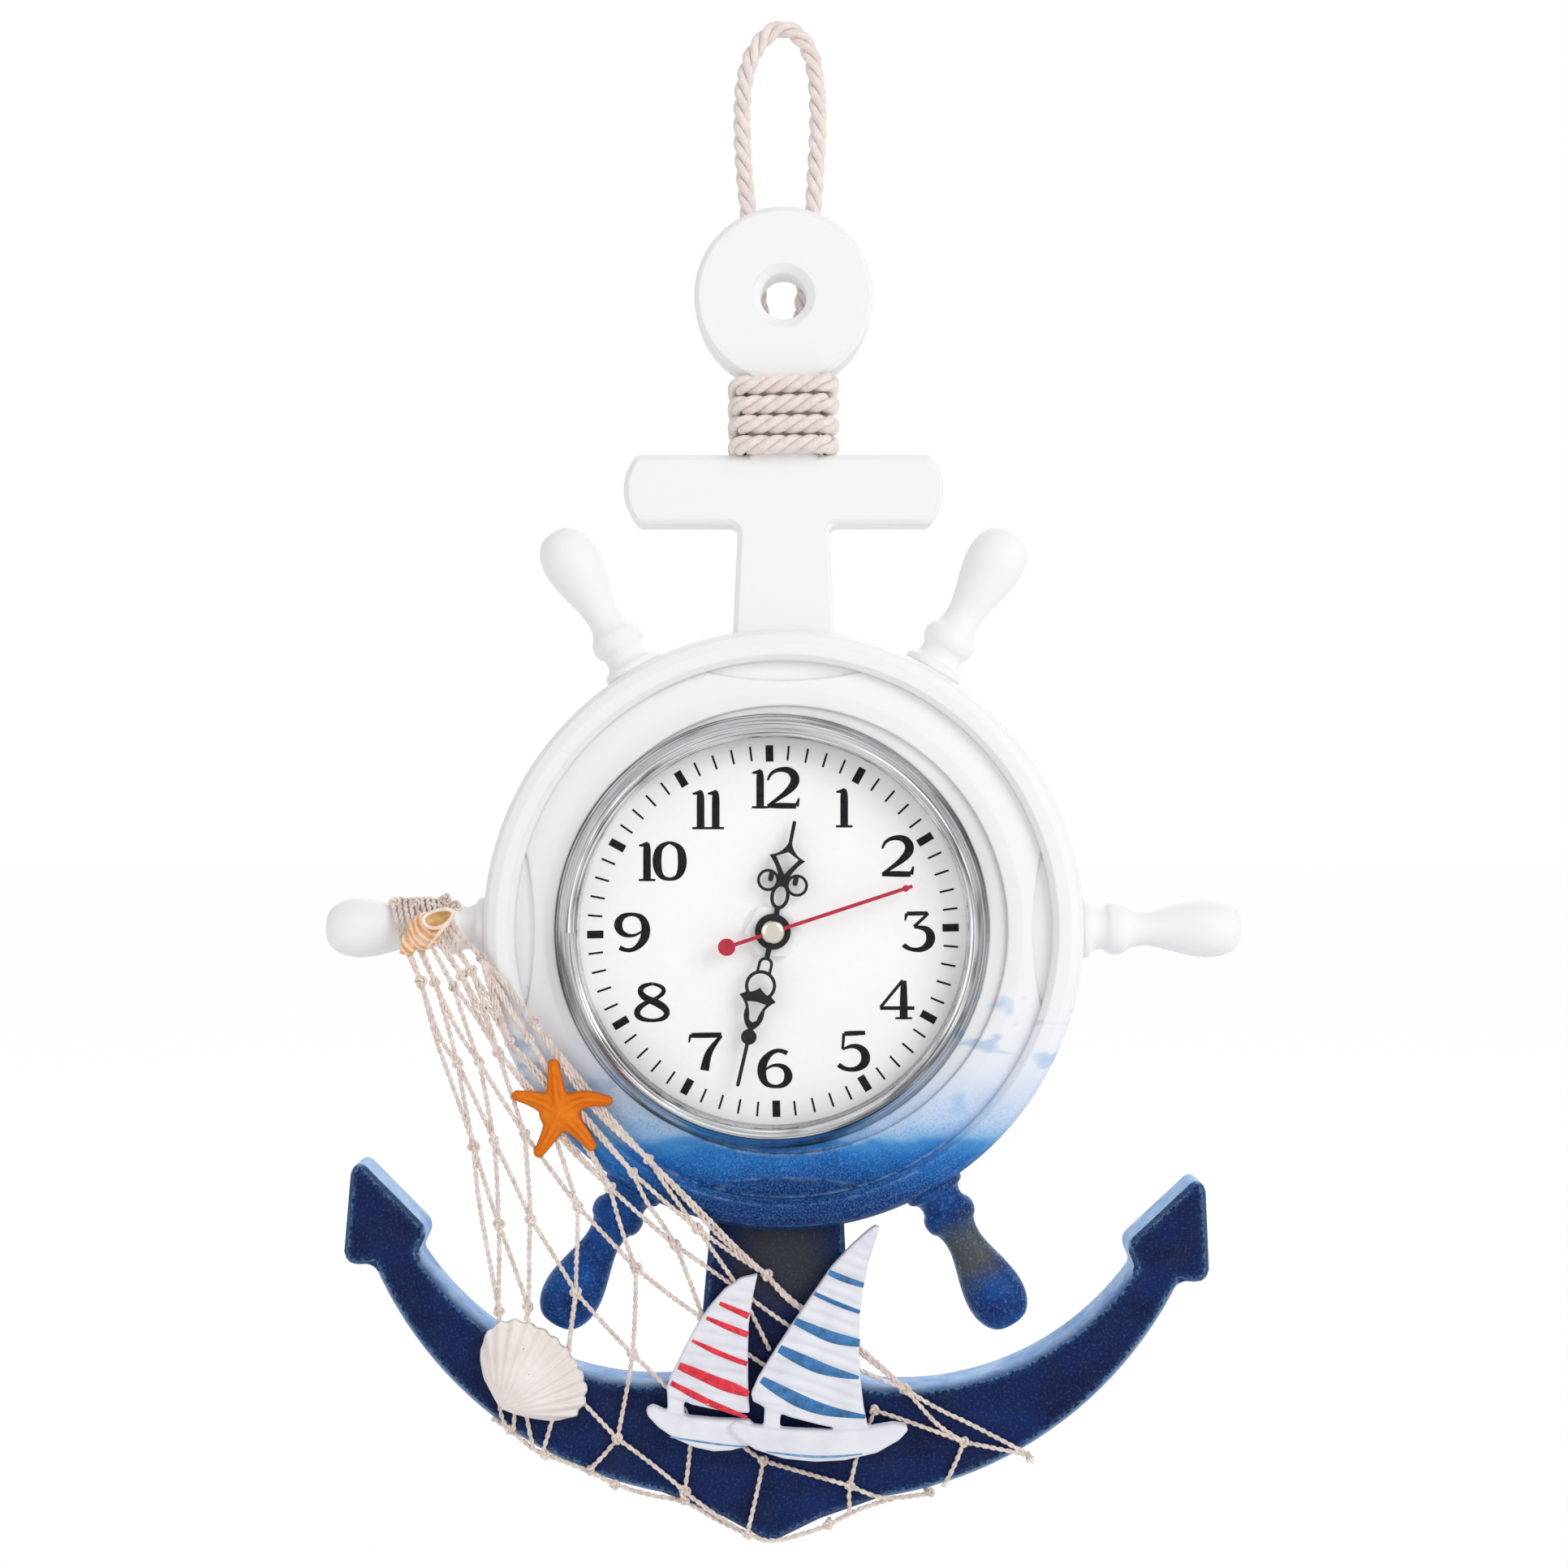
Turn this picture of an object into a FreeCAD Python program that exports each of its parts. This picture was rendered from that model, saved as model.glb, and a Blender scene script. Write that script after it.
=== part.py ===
import FreeCAD, Part
import math
import os

# A wall clock: a quartz insert in a turned ship's wheel, on an anchor of two boards, dressed with rope,
# a twine net, shells, a starfish and two cast boats.
# Millimetres, Z up, the front towards -Y. The origin is on the wheel's axis, in the boards' back plane.

Vector = FreeCAD.Vector
ORIGIN = Vector(0, 0, 0)
ACROSS = Vector(1, 0, 0)
AXIS = Vector(0, 1, 0)
UP = Vector(0, 0, 1)

# Shared
overrun = 1.0  # how far a cut runs past the face that it opens
soft_gap = 0.3  # between a soft or glued piece and what it lies on
fit_gap = 0.1  # between pieces that are assembled and stay put
running_gap = 0.05  # radial, between a turning arbor and its hole

# Round sizes of the clock insert, which the wheel is turned to take
case_radius = 45.0
case_wall = 1.2
bore_clearance = 0.6  # for the rubber band, between the case and the ring
bore_radius = case_radius + bore_clearance
bezel_overhang = 4.0
bezel_radius = case_radius + bezel_overhang
dial_radius = case_radius - case_wall - fit_gap
bezel_opening_radius = dial_radius - fit_gap

# Wheel ring
ring_width = 23.0  # from the insert's case out to the rim
ring_radius = case_radius + ring_width
ring_thickness = 20.0
ring_front_chamfer = 3.2
ring_back_chamfer = 1.5
rim_width = 7.2
step_radius = ring_radius - rim_width
step_shoulder = 1.2
step_depth = 3.0
band_rise = 1.5
band_crest_share = 0.35  # of the band's width, out from the lip
lip_margin = 1.6  # round the bezel
lip_radius = bezel_radius + lip_margin
seat_depth = 2.5
land_half_width = 17.5
land_reach = 4.5
land_recess = 0.4

# Boards of the anchor
board_thickness = 12.0
board_edge_chamfer = 1.0
lap_length = 16.0

# Upper board
eye_radius = 20.4
eye_hole_radius = 5.3
eye_mouth_chamfer = 1.8
neck_half_width = 8.35
neck_edge_round = 2.4  # under the lashing
stock_half_length = 36.5
stock_end_bulge = 3.1
stock_width = 15.9
stock_corner_round = 1.8
upper_shank_length = 24.1  # from the ring's rim to the stock
neck_length = 16.0  # from the stock to the eye's lowest point
stock_bottom = ring_radius + upper_shank_length
stock_top = stock_bottom + stock_width
eye_height = stock_top + neck_length + eye_radius
upper_shank_half_top = 10.4
upper_shank_half_rim = 11.5
upper_shank_corner_round = 2.0

# Lower board
anchor_turn_degrees = 1.2  # the lower board sits a little clockwise in the ring
lower_shank_half_rim = 15.3
lower_shank_half_foot = 17.7
lower_shank_corner_round = 5.0
inner_arc_radius = 65.0
inner_arc_offset = 28.0  # from the wheel's axis out to the arc's centre
inner_arc_inset = 28.5  # from the ring's lowest point up to the arc's centre
inner_arc_below = ring_radius - inner_arc_inset
arm_width = 24.5
outer_arc_radius = inner_arc_radius + arm_width
outer_arc_offset = 10.6
outer_arc_inset = 26.9
outer_arc_below = ring_radius - outer_arc_inset
crown_half_width = 25.0
crown_height = 9.8
crown_point_below = outer_arc_below + outer_arc_radius + crown_height
crown_hollow_share = (0.44, 0.48)  # of the crown's half width and of its drop
fluke_inset = 13.4  # from the inner arc's widest place in to the fluke
fluke_inner_offset = inner_arc_offset + inner_arc_radius - fluke_inset
fluke_width = 19.2
fluke_tip_inset = 13.1
fluke_tip_below = ring_radius - fluke_tip_inset
fluke_height = 24.0
# From the tip round to the notch under the barb: shares of the fluke's width and height
fluke_tip_share = (0.84, 0.0)
fluke_tip_end_share = (0.94, 0.11)
fluke_outer_corner_share = (1.0, 0.88)
fluke_barb_side_share = (0.96, 0.97)
fluke_barb_foot_share = (0.86, 1.0)
fluke_inner_corner_share = (0.0, 0.654)
# Where the arm's two arcs meet the fluke, out across it
fluke_inner_notch_share = 0.12
fluke_outer_notch_share = 0.64

# Screws in the laps
screw_length = 15.0
screw_shank_radius = 1.75
screw_head_radius = 3.6
screw_head_depth = 2.4
screw_slot_width = 0.9
screw_slot_depth = 1.0
screw_spread = 6.5
screw_inset = 8.0  # from the ring's rim in to the screws
screw_ring_radius = ring_radius - screw_inset

# Handles
handle_count = 6
handle_length = 36.4
handle_axis_depth = 10.0
tenon_radius = 3.4
tenon_length = 11.0
collar_radius = 6.9
collar_length = 1.6
cove_length = 4.0
bead_radius = 5.9
bead_length = 4.4
quirk_radius = 5.2
grip_radius = 6.7
# The turned grip from its neck to its end: shares of the handle's length and of the grip's radius
grip_shares = ((0.42, 0.6), (0.53, 0.74), (0.66, 0.93), (0.78, 1.0), (0.9, 0.88), (0.97, 0.62), (1.0, 0.32))

# Rope: a lashing of four turns round the neck, and the loop that it hangs by
rope_diameter = 4.2
wrap_diameter = 4.0  # the same rope, drawn tight
wrap_turns = 4
wrap_pitch = 4.53
wrap_corner_radius = 4.6
wrap_tail = 1.0  # how far the lashing's ends run past the board's back
rope_run_share = 0.45  # of the shorter run, the part that an arc takes
rope_sides = 10
# The loop's route, across and up, all of it one rope's radius behind the boards
rope_route = [
    (-4.2, 134.5),
    (-5.6, 143.5),
    (-6.6, 154.0),
    (-8.4, 167.0),
    (-9.5, 179.0),
    (-9.8, 189.0),
    (-9.3, 197.5),
    (-6.9, 204.6),
    (-2.2, 209.6),
    (3.2, 208.6),
    (6.7, 203.2),
    (7.9, 195.5),
    (8.1, 186.5),
    (7.5, 176.5),
    (6.9, 166.0),
    (5.2, 154.0),
    (4.5, 143.5),
    (3.4, 134.0),
]
rope_left_foot = -3.5
rope_right_foot = 2.9

# Clock insert
insert_across = -2.4  # from the wheel's axis to the insert's
insert_above = -0.3
bezel_flange = 1.3
bezel_rim_width = 1.3
bezel_height = 8.8
bezel_groove_width = 0.5
# Its profile from the groove in to the opening: shares of the width and of the height
bezel_crown_shares = ((0.74, 0.62), (0.6, 0.88), (0.42, 1.0), (0.3, 1.0))
case_floor = 1.5
case_length = 20.3
band_width = 9.0
band_back = 5.0
lens_thickness = 1.5
lens_back_depth = 23.3
dial_thickness = 0.5
dial_back_depth = 17.6

# Quartz movement, square, behind the case's floor
movement_size = 56.0
movement_corner_round = 4.0
movement_back_depth = 0.8
movement_wall = 1.2
movement_floor = 1.2
cover_thickness = 1.2
bush_radius = 4.0
bush_bore_radius = 2.62
bush_front_depth = 20.0
washer_radius = 6.6
washer_thickness = 0.4
nut_across_flats = 11.0
nut_sides = 6
nut_thickness = 1.4
partition_thickness = 1.0

# Battery
battery_radius = 7.25
battery_length = 49.5
battery_nub_radius = 2.7
battery_nub_length = 1.0
battery_below = 18.6
battery_axis_depth = 8.15
battery_side_gap = 0.3
contact_thickness = 0.3
contact_size = 9.0
contact_spring_radius = 3.2
contact_spring_tip_radius = 2.0

# Arbors and pipes
arbor_radius = 0.5
pivot_depth = 0.7
hour_pipe_radius = 2.55
hour_pipe_bore = 1.67
minute_pipe_radius = 1.6
minute_pipe_bore = 0.57
pivot_boss_half = 0.95

# Wheels: teeth, and the module of each pair
tooth_height_share = 0.75  # of the module, above and below the pitch circle
tooth_root_share = 0.56  # half a tooth's width at the root and at the tip, as shares of half a pitch
tooth_tip_share = 0.2
wheel_thickness = 0.9
pinion_length = 1.5
hour_teeth = 32
minute_pinion_teeth = 8
minute_wheel_teeth = 30
centre_pinion_teeth = 10
setting_pinion_teeth = 10
motion_module = 0.48
centre_teeth = 48
third_pinion_teeth = 6
centre_module = 0.36
third_teeth = 45
second_pinion_teeth = 6
second_teeth = 36
intermediate_pinion_teeth = 6
second_module = 0.455
intermediate_teeth = 30
rotor_pinion_teeth = 6
rotor_module = 0.36
# Where each wheel lies round the one that it meshes with, in degrees from the right, anticlockwise
minute_wheel_bearing = 0.0
setting_bearing = 50.0
third_bearing = 180.0
intermediate_bearing = 110.0
rotor_bearing = 30.0
# Depths of the wheels' front faces behind the boards' back plane, from the front backwards
hour_wheel_depth = 14.6
centre_pinion_depth = 13.2
centre_wheel_depth = 11.5
third_wheel_depth = 9.9
second_wheel_depth = 8.2
intermediate_wheel_depth = 6.6
magnet_depth = 5.2
magnet_length = 1.6
magnet_radius = 2.6
knob_radius = 4.4
knob_length = 1.1
knob_sides = 16

# Stator, coil and board
stator_thickness = 0.8
stator_hole_radius = 3.0
stator_pole_radius = 4.2
stator_leg_across = 12.0
stator_leg_width = 3.4
stator_depth = 4.8
core_thickness = 0.8
core_width = 3.0
coil_above = 21.2
coil_radius = 3.1
coil_length = 16.5
flange_thickness = 0.7
flange_radius = 3.5
coil_depth = 5.6
board_left = -26.2
board_right = -14.6
board_bottom = -4.0
board_top = 18.0
board_depth = 4.2
circuit_thickness = 0.8
post_radius = 1.2
crystal_radius = 1.0
crystal_length = 6.0
chip_radius = 2.6
chip_thickness = 0.7

# Hands, from the dial outwards
hand_thickness = 0.3
hour_hand_depth = 20.3
minute_hand_depth = 21.1
second_hand_depth = 21.9
hour_hand_length = 25.4
minute_hand_length = 35.6
second_hand_length = 33.0
second_tail_length = 10.9
hour_hand_degrees = 11.15  # clockwise from twelve
minute_hand_degrees = 192.9
second_hand_degrees = 71.8
hub_radius = 4.0
stalk_half_width = 0.6
needle_half_width = 0.42
loop_half_width = 2.15
loop_half_length = 3.0
loop_line = 0.8
scroll_radius = 2.5
scroll_line = 0.65
scroll_across = 3.3
scroll_out = 11.2
comma_radius = 0.6
comma_across = 2.8
comma_out = 11.6
shield_half_width = 4.15
shield_out = 16.9
shield_line = 1.45
arch_half_width = 1.7
arch_line = 0.65
ring_hole_radius = 2.75
ring_line = 0.75
ring_out = 12.4
barb_half_width = 4.2
tulip_half_width = 2.15
tulip_line = 0.95
ball_radius = 1.75
ball_out = 24.2
tail_disc_radius = 1.95
second_hub_radius = 1.9
tip_bead_radius = 0.75
cap_radius = 2.6
cap_height = 0.8
# The cap's dome from its rim to its top: shares of its radius and of its height
cap_shares = ((1.0, 0.0), (0.87, 0.5), (0.5, 0.88), (0.0, 1.0))
# Distances out along the hands, as shares of each hand's length
hour_loop_out_share = 0.32
hour_shield_foot_share = 0.49
hour_web_foot_share = 0.41
hour_needle_foot_share = 0.8
minute_arch_foot_share = 0.165
minute_arch_end_share = 0.26
minute_lens_top_share = 0.36
minute_lens_side_share = 0.4
minute_barb_out_share = 0.43
minute_barb_root_share = 0.4
minute_tulip_waist_share = 0.5
minute_tulip_full_share = 0.57
minute_tulip_end_share = 0.63
second_bead_share = 0.95

# Net
twine_diameter = 1.2
net_front_clearance = 0.4
net_left = -92.0
net_right = 62.0
net_reach = 60.0  # deep enough to cut the whole sheet
net_fall_near = 36.0  # left of this the sheet leans out over the lower left handle
net_fall_far = 28.0
# Up the wheel as shares of its radius: where the hanging sheet changes its slope
net_front_share = -0.1
net_rim_share = -0.98
net_steep_foot_share = -1.15
net_easy_foot_share = -1.53
net_easy_bend_share = -1.29
net_easy_depth_share = 0.86  # of the wheel's thickness, at the bend over the lower handle
net_bottom_share = -2.1
# The knots, across and up, as shares of the wheel's radius
net_knot_shares = {
    "h1": (-1.30, 0.09),
    "h2": (-1.22, 0.08),
    "h3": (-1.12, 0.10),
    "h4": (-1.07, 0.06),
    "a1": (-1.20, -0.17),
    "a2": (-1.15, -0.18),
    "a3": (-1.10, -0.18),
    "a4": (-1.04, -0.14),
    "a5": (-0.98, -0.10),
    "b1": (-1.08, -0.44),
    "b2": (-1.01, -0.44),
    "b3": (-0.94, -0.40),
    "b4": (-0.88, -0.37),
    "b5": (-0.80, -0.31),
    "c1": (-1.03, -0.71),
    "c2": (-0.96, -0.70),
    "c3": (-0.86, -0.68),
    "c4": (-0.74, -0.69),
    "t1": (-0.66, -0.58),
    "t2": (-0.61, -0.57),
    "c5": (-0.57, -0.85),
    "c6": (-0.49, -0.81),
    "c7": (-0.44, -0.76),
    "d1": (-0.95, -0.97),
    "d2": (-0.84, -0.95),
    "d3": (-0.69, -0.91),
    "d4": (-0.49, -1.12),
    "d5": (-0.36, -1.05),
    "d6": (-0.29, -0.99),
    "d7": (-0.07, -1.14),
    "e1": (-0.95, -1.27),
    "e2": (-0.85, -1.25),
    "e3": (-0.69, -1.20),
    "e4": (-0.50, -1.42),
    "e5": (-0.27, -1.30),
    "e6": (-0.18, -1.20),
    "f1": (-0.68, -1.57),
    "f2": (-0.57, -1.69),
    "f3": (-0.33, -1.88),
    "f4": (-0.07, -1.77),
    "f5": (0.22, -1.86),
    "f6": (0.59, -1.70),
    "f7": (0.41, -1.52),
    "f8": (0.29, -1.59),
    "f9": (0.82, -1.74),
    "m1": (-0.39, -1.50),
    "m2": (0.06, -1.25),
    "m3": (0.27, -1.40),
    "m4": (-0.32, -1.74),
    "m5": (-0.08, -1.45),
    "g1": (-0.92, -1.68),
    "g2": (-0.80, -1.76),
    "g3": (-0.66, -1.81),
    "g4": (-0.57, -1.86),
    "g5": (-0.12, -2.03),
    "g6": (0.20, -1.96),
    "g8": (0.49, -1.88),
}
# The outer edge of the net, and its meshes, by their knots
net_edge = (
    "h1 h2 h3 h4 a5 b5 t2 c7 d7 m2 m3 f7 f9 f6 g8 g6 g5 f3 g4 g3 g2 g1 e1 c1 a1"
).split()
net_meshes = (
    "h1 h2 a2 a1",
    "h2 h3 a3 a2",
    "h3 h4 a4 a3",
    "h4 a5 a4",
    "a1 a2 b1",
    "a2 a3 b2",
    "a1 b1 c1",
    "a2 b2 c2 b1",
    "a3 b3 c3 b2",
    "a3 a4 b4 b3",
    "a4 a5 b5 b4",
    "b1 c2 d1 c1",
    "b2 c3 d2 c2",
    "b3 c4 d3 c3",
    "b3 b4 t1 c4",
    "b4 b5 t2 t1",
    "c1 d1 e1",
    "c2 d2 e2 d1",
    "c3 d3 e3 d2",
    "c4 c5 d4 d3",
    "c4 t1 c6 c5",
    "t1 t2 c7 c6",
    "c5 c6 d6 d5",
    "c5 d5 e5 d4",
    "c6 c7 d7 d6",
    "d1 e2 e1",
    "d2 e3 e2",
    "d3 d4 e4 e3",
    "d5 d6 e6 e5",
    "d6 d7 m5 e6",
    "d4 e5 m1 e4",
    "e5 e6 m5 m1",
    "e3 e4 f2 f1",
    "e2 e3 f1",
    "e1 e2 f1 g1",
    "e4 m1 m4 f2",
    "f1 f2 g3 g2",
    "f1 g2 g1",
    "f2 f3 g4 g3",
    "m4 f3 f2",
    "m1 m5 f4 m4",
    "m4 f4 g5 f3",
    "d7 m2 f8 m5",
    "m2 m3 f7 f8",
    "m5 f8 f5 f4",
    "f4 f5 g6 g5",
    "f8 f7 f6",
    "f5 f8 f6 g8",
    "f5 g8 g6",
    "f7 f9 f6",
)

# Starfish
star_across = -50.2
star_above = -40.6
star_body_radius = 4.2
star_arm_root_radius = 3.6
star_arm_tip_radius = 1.3
# Bearings of the five arms in degrees, and their lengths as shares of the longest
star_arm_length = 12.3
star_arms = ((96.0, 0.92), (21.0, 1.0), (-46.0, 0.9), (-117.0, 0.92), (160.0, 0.92))

# Scallop
scallop_across = -57.5
scallop_above = -100.0
scallop_radius = 12.2
scallop_height = 6.2
scallop_rim = 0.9
scallop_ribs = 14
scallop_rib_share = 0.06
scallop_bearing = 40.0  # where its rays point
scallop_fan_degrees = 236.0
scallop_umbo_share = 0.74  # from the middle back to the umbo
# Its sections: how far towards the umbo, how large, and how high, each as a share
scallop_section_shares = ((0.0, 1.0, 0.0), (0.12, 0.8, 0.62), (0.42, 0.42, 0.95), (0.66, 0.14, 1.0))

# Conch
conch_across = -80.6
conch_above = -1.2
conch_length = 17.5
conch_radius = 4.9
conch_bearing = 42.0
# Its profile from the spire to the mouth: shares of the length and of the radius
conch_whorl_shares = ((0.10, 0.34), (0.12, 0.28), (0.24, 0.60), (0.26, 0.52), (0.42, 0.94), (0.45, 0.84))
conch_body_shares = ((0.58, 1.0), (0.8, 1.0))
conch_lip_share = (1.0, 0.9)
conch_mouth_share = (0.84, 0.72)
conch_throat_share = 0.6
conch_depth_above_net = 0.3

# Boats
boat_thickness = 2.8
hull_extra = 1.2
boat_edge_chamfer = 0.6
blue_boat_turn_degrees = 7.9
red_boat_across = -16.0
red_boat_above = -109.2
red_boat_width = 26.0
red_sail_height = 30.4
blue_boat_across = 8.0
blue_boat_above = -114.0
blue_boat_width = 40.0
blue_sail_height = 46.2
# Outlines as shares of the hull's width and the sail's height, from the hull's middle at deck level
hull_tip_share = (0.5, 0.03)
hull_deck_share = (0.04, -0.05)
hull_keel_share = (0.06, -0.26)
red_sail_shares = ((-0.31, 0.03), (-0.31, 0.13), (0.37, 0.03), (0.41, 0.5), (0.385, 1.0), (0.0, 0.62))
blue_sail_shares = ((-0.37, 0.16), (-0.37, 0.18), (0.29, -0.02), (0.22, 0.5), (0.35, 1.0), (-0.02, 0.6))
red_mast_share = (-0.29, -0.21)
blue_mast_share = (-0.3, -0.21)

insert_centre = Vector(insert_across, 0, insert_above)
seat_front = -(ring_thickness - seat_depth)


def in_front(across, up):
    return Vector(across, 0, up)


def in_section(radius, depth):
    return Vector(radius, depth, 0)


def along_handle(out, radius):
    return Vector(out, 0, radius)


def edges_through(steps, place):
    # The first step is the start; the others are ends of lines, or pairs of a way point and an end for arcs
    edges = []
    here = steps[0]
    for step in steps[1:]:
        if isinstance(step[0], tuple):
            way, end = step
            edges.append(Part.Arc(place(*here), place(*way), place(*end)).toShape())
        else:
            end = step
            edges.append(Part.makeLine(place(*here), place(*end)))
        here = end
    return edges


def face_through(steps, place=in_front):
    edges = edges_through(steps, place)
    first = edges[0].Vertexes[0].Point
    last = place(*(steps[-1][1] if isinstance(steps[-1][0], tuple) else steps[-1]))
    if first.distanceToPoint(last) > Part.Precision.confusion():
        edges.append(Part.makeLine(last, first))
    return Part.Face(Part.Wire(edges))


def plate(face, back, front):
    # A flat face in the XZ plane, made solid between two depths
    solid = face.copy()
    solid.translate(AXIS * back)
    return solid.extrude(AXIS * (front - back))


def turned(steps, centre=ORIGIN):
    solid = face_through(steps, in_section).revolve(ORIGIN, AXIS, 360)
    solid.translate(centre)
    return solid


def rod(radius, back, front, centre=ORIGIN):
    # A cylinder along the wheel's axis
    return Part.makeCylinder(radius, abs(front - back), centre + AXIS * min(back, front), AXIS)


def box(left, right, back, front, bottom, top):
    return Part.makeBox(right - left, back - front, top - bottom, Vector(left, front, bottom))


def mirrored_face(half_steps):
    # A half outline that starts and ends on the middle line, closed by its mirror image
    right = edges_through(half_steps, in_front)
    left = [edge.mirror(ORIGIN, ACROSS) for edge in right]
    return Part.Face(Part.Wire(Part.__sortEdges__(right + left)))


def round_edges(solid, radius, wanted):
    edges = [edge for edge in solid.Edges if wanted(edge)]
    return solid.makeFillet(radius, edges)


def ease_edges(solid, width, wanted):
    edges = [edge for edge in solid.Edges if wanted(edge)]
    return solid.makeChamfer(width, edges)


def upright_near(corners):
    # Chooses the edges along the wheel's axis that pass through the given corners
    def wanted(edge):
        ends = [v.Point for v in edge.Vertexes]
        if len(ends) < 2 or abs(abs(ends[0].y - ends[1].y) - edge.Length) > Part.Precision.confusion():
            return False
        return any(math.hypot(ends[0].x - x, ends[0].z - z) < fit_gap for x, z in corners)

    return wanted


def on_front(depth):
    def wanted(edge):
        return all(abs(v.Point.y - depth) < Part.Precision.confusion() for v in edge.Vertexes)

    return wanted


def turn_clockwise(shape, degrees, centre=ORIGIN):
    # As seen from the front
    shape.rotate(centre, AXIS, degrees)
    return shape


def shared(share, width, height):
    return share[0] * width, share[1] * height


def on_circle(centre_across, centre_up, radius, across):
    return centre_up - math.sqrt(radius**2 - (across - centre_across) ** 2)


def shank_half(rim_half, far_half, far_up, up):
    # Half the width of a tapering shank at some height; it is rim_half wide at the ring's rim
    rim_up = math.copysign(ring_radius, far_up)
    return rim_half + (far_half - rim_half) * (up - rim_up) / (far_up - rim_up)


def upper_shank_half(up):
    return shank_half(upper_shank_half_rim, upper_shank_half_top, stock_bottom, up)


def lower_shank_half(up):
    return shank_half(lower_shank_half_rim, lower_shank_half_foot, lower_corner_up, up)


lower_corner_up = on_circle(inner_arc_offset, -inner_arc_below, inner_arc_radius, lower_shank_half_foot)
lap_up = ring_radius - lap_length


# Anchor boards
def make_anchor_top():
    neck_top = eye_height - math.sqrt(eye_radius**2 - neck_half_width**2)
    stock_side = stock_half_length - stock_end_bulge
    stock_middle = (stock_top + stock_bottom) / 2
    lap_half = upper_shank_half(lap_up)
    half = [
        (0, lap_up),
        (lap_half, lap_up),
        (upper_shank_half_top, stock_bottom),
        (stock_side, stock_bottom),
        ((stock_half_length, stock_middle), (stock_side, stock_top)),
        (neck_half_width, stock_top),
        (neck_half_width, neck_top),
        ((eye_radius, eye_height), (0, eye_height + eye_radius)),
    ]
    board = plate(mirrored_face(half), 0, -board_thickness)
    ends = [(s * stock_side, z) for s in (-1, 1) for z in (stock_bottom, stock_top)]
    board = round_edges(board, stock_corner_round, upright_near(ends))
    roots = [(s * upper_shank_half_top, stock_bottom) for s in (-1, 1)]
    board = round_edges(board, upper_shank_corner_round, upright_near(roots))
    board = ease_edges(board, board_edge_chamfer, on_front(-board_thickness))
    hole = turned(
        [
            (0, overrun),
            (eye_hole_radius, overrun),
            (eye_hole_radius, eye_mouth_chamfer - board_thickness),
            (eye_hole_radius + eye_mouth_chamfer, -board_thickness),
            (eye_hole_radius + eye_mouth_chamfer, -board_thickness - overrun),
            (0, -board_thickness - overrun),
        ],
        Vector(0, 0, eye_height),
    )
    for side in (-1, 1):
        for depth, inward in ((0, -1), (-board_thickness, 1)):
            board = board.cut(neck_edge_waste(side, depth, inward, neck_top))
    return board.cut(hole)


def neck_edge_waste(side, depth, inward, neck_top):
    # What comes off one long edge of the neck to round it for the rope
    centre = Vector(side * (neck_half_width - neck_edge_round), depth + inward * neck_edge_round, stock_top)
    height = neck_top - stock_top
    size = neck_edge_round + overrun
    waste = Part.makeBox(size, size, height)
    if side < 0:
        waste.translate(Vector(-size, 0, 0))
    if inward > 0:
        waste.translate(Vector(0, -size, 0))
    waste.translate(centre)
    return waste.cut(Part.makeCylinder(neck_edge_round, height, centre, UP))


def fluke_point(share):
    across, down = shared(share, fluke_width, fluke_height)
    return fluke_inner_offset + across, -fluke_tip_below - down


def make_anchor_bottom():
    inner_notch = fluke_inner_offset + fluke_inner_notch_share * fluke_width
    outer_notch = fluke_inner_offset + fluke_outer_notch_share * fluke_width
    arc_root = (inner_notch, on_circle(inner_arc_offset, -inner_arc_below, inner_arc_radius, inner_notch))
    inner_bottom = (inner_arc_offset, -inner_arc_below - inner_arc_radius)
    arc_end = (outer_notch, on_circle(outer_arc_offset, -outer_arc_below, outer_arc_radius, outer_notch))
    crown_side_up = on_circle(outer_arc_offset, -outer_arc_below, outer_arc_radius, crown_half_width)
    crown_side = (crown_half_width, crown_side_up)
    slant = outer_arc_radius * math.sqrt(0.5)
    outer_way = (outer_arc_offset + slant, -outer_arc_below - slant)
    crown_drop = crown_point_below + crown_side[1]
    hollow_across, hollow_down = shared(crown_hollow_share, crown_half_width, crown_drop)
    half = [
        (0, -lap_up),
        (lower_shank_half(-lap_up), -lap_up),
        (lower_shank_half_foot, lower_corner_up),
        (inner_bottom, arc_root),
        fluke_point(fluke_inner_corner_share),
        fluke_point(fluke_tip_share),
        fluke_point(fluke_tip_end_share),
        fluke_point(fluke_outer_corner_share),
        fluke_point(fluke_barb_side_share),
        fluke_point(fluke_barb_foot_share),
        arc_end,
        (outer_way, crown_side),
        (hollow_across, crown_side[1] - hollow_down),
        (0, -crown_point_below),
    ]
    board = plate(mirrored_face(half), 0, -board_thickness)
    corners = [(s * lower_shank_half_foot, lower_corner_up) for s in (-1, 1)]
    board = round_edges(board, lower_shank_corner_round, upright_near(corners))
    board = ease_edges(board, board_edge_chamfer, on_front(-board_thickness))
    return turn_clockwise(board, anchor_turn_degrees)


def lap_pocket(half_width, up_sign, turn_degrees):
    # The space that a shank's end fills in the back of the ring, with its clearance
    inner = up_sign * (lap_up - fit_gap)
    outer = up_sign * (ring_radius + overrun)
    corners = [
        (-half_width(inner) - fit_gap, inner),
        (half_width(inner) + fit_gap, inner),
        (half_width(outer) + fit_gap, outer),
        (-half_width(outer) - fit_gap, outer),
    ]
    pocket = plate(face_through(corners), overrun, -board_thickness - fit_gap)
    return turn_clockwise(pocket, turn_degrees)


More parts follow.
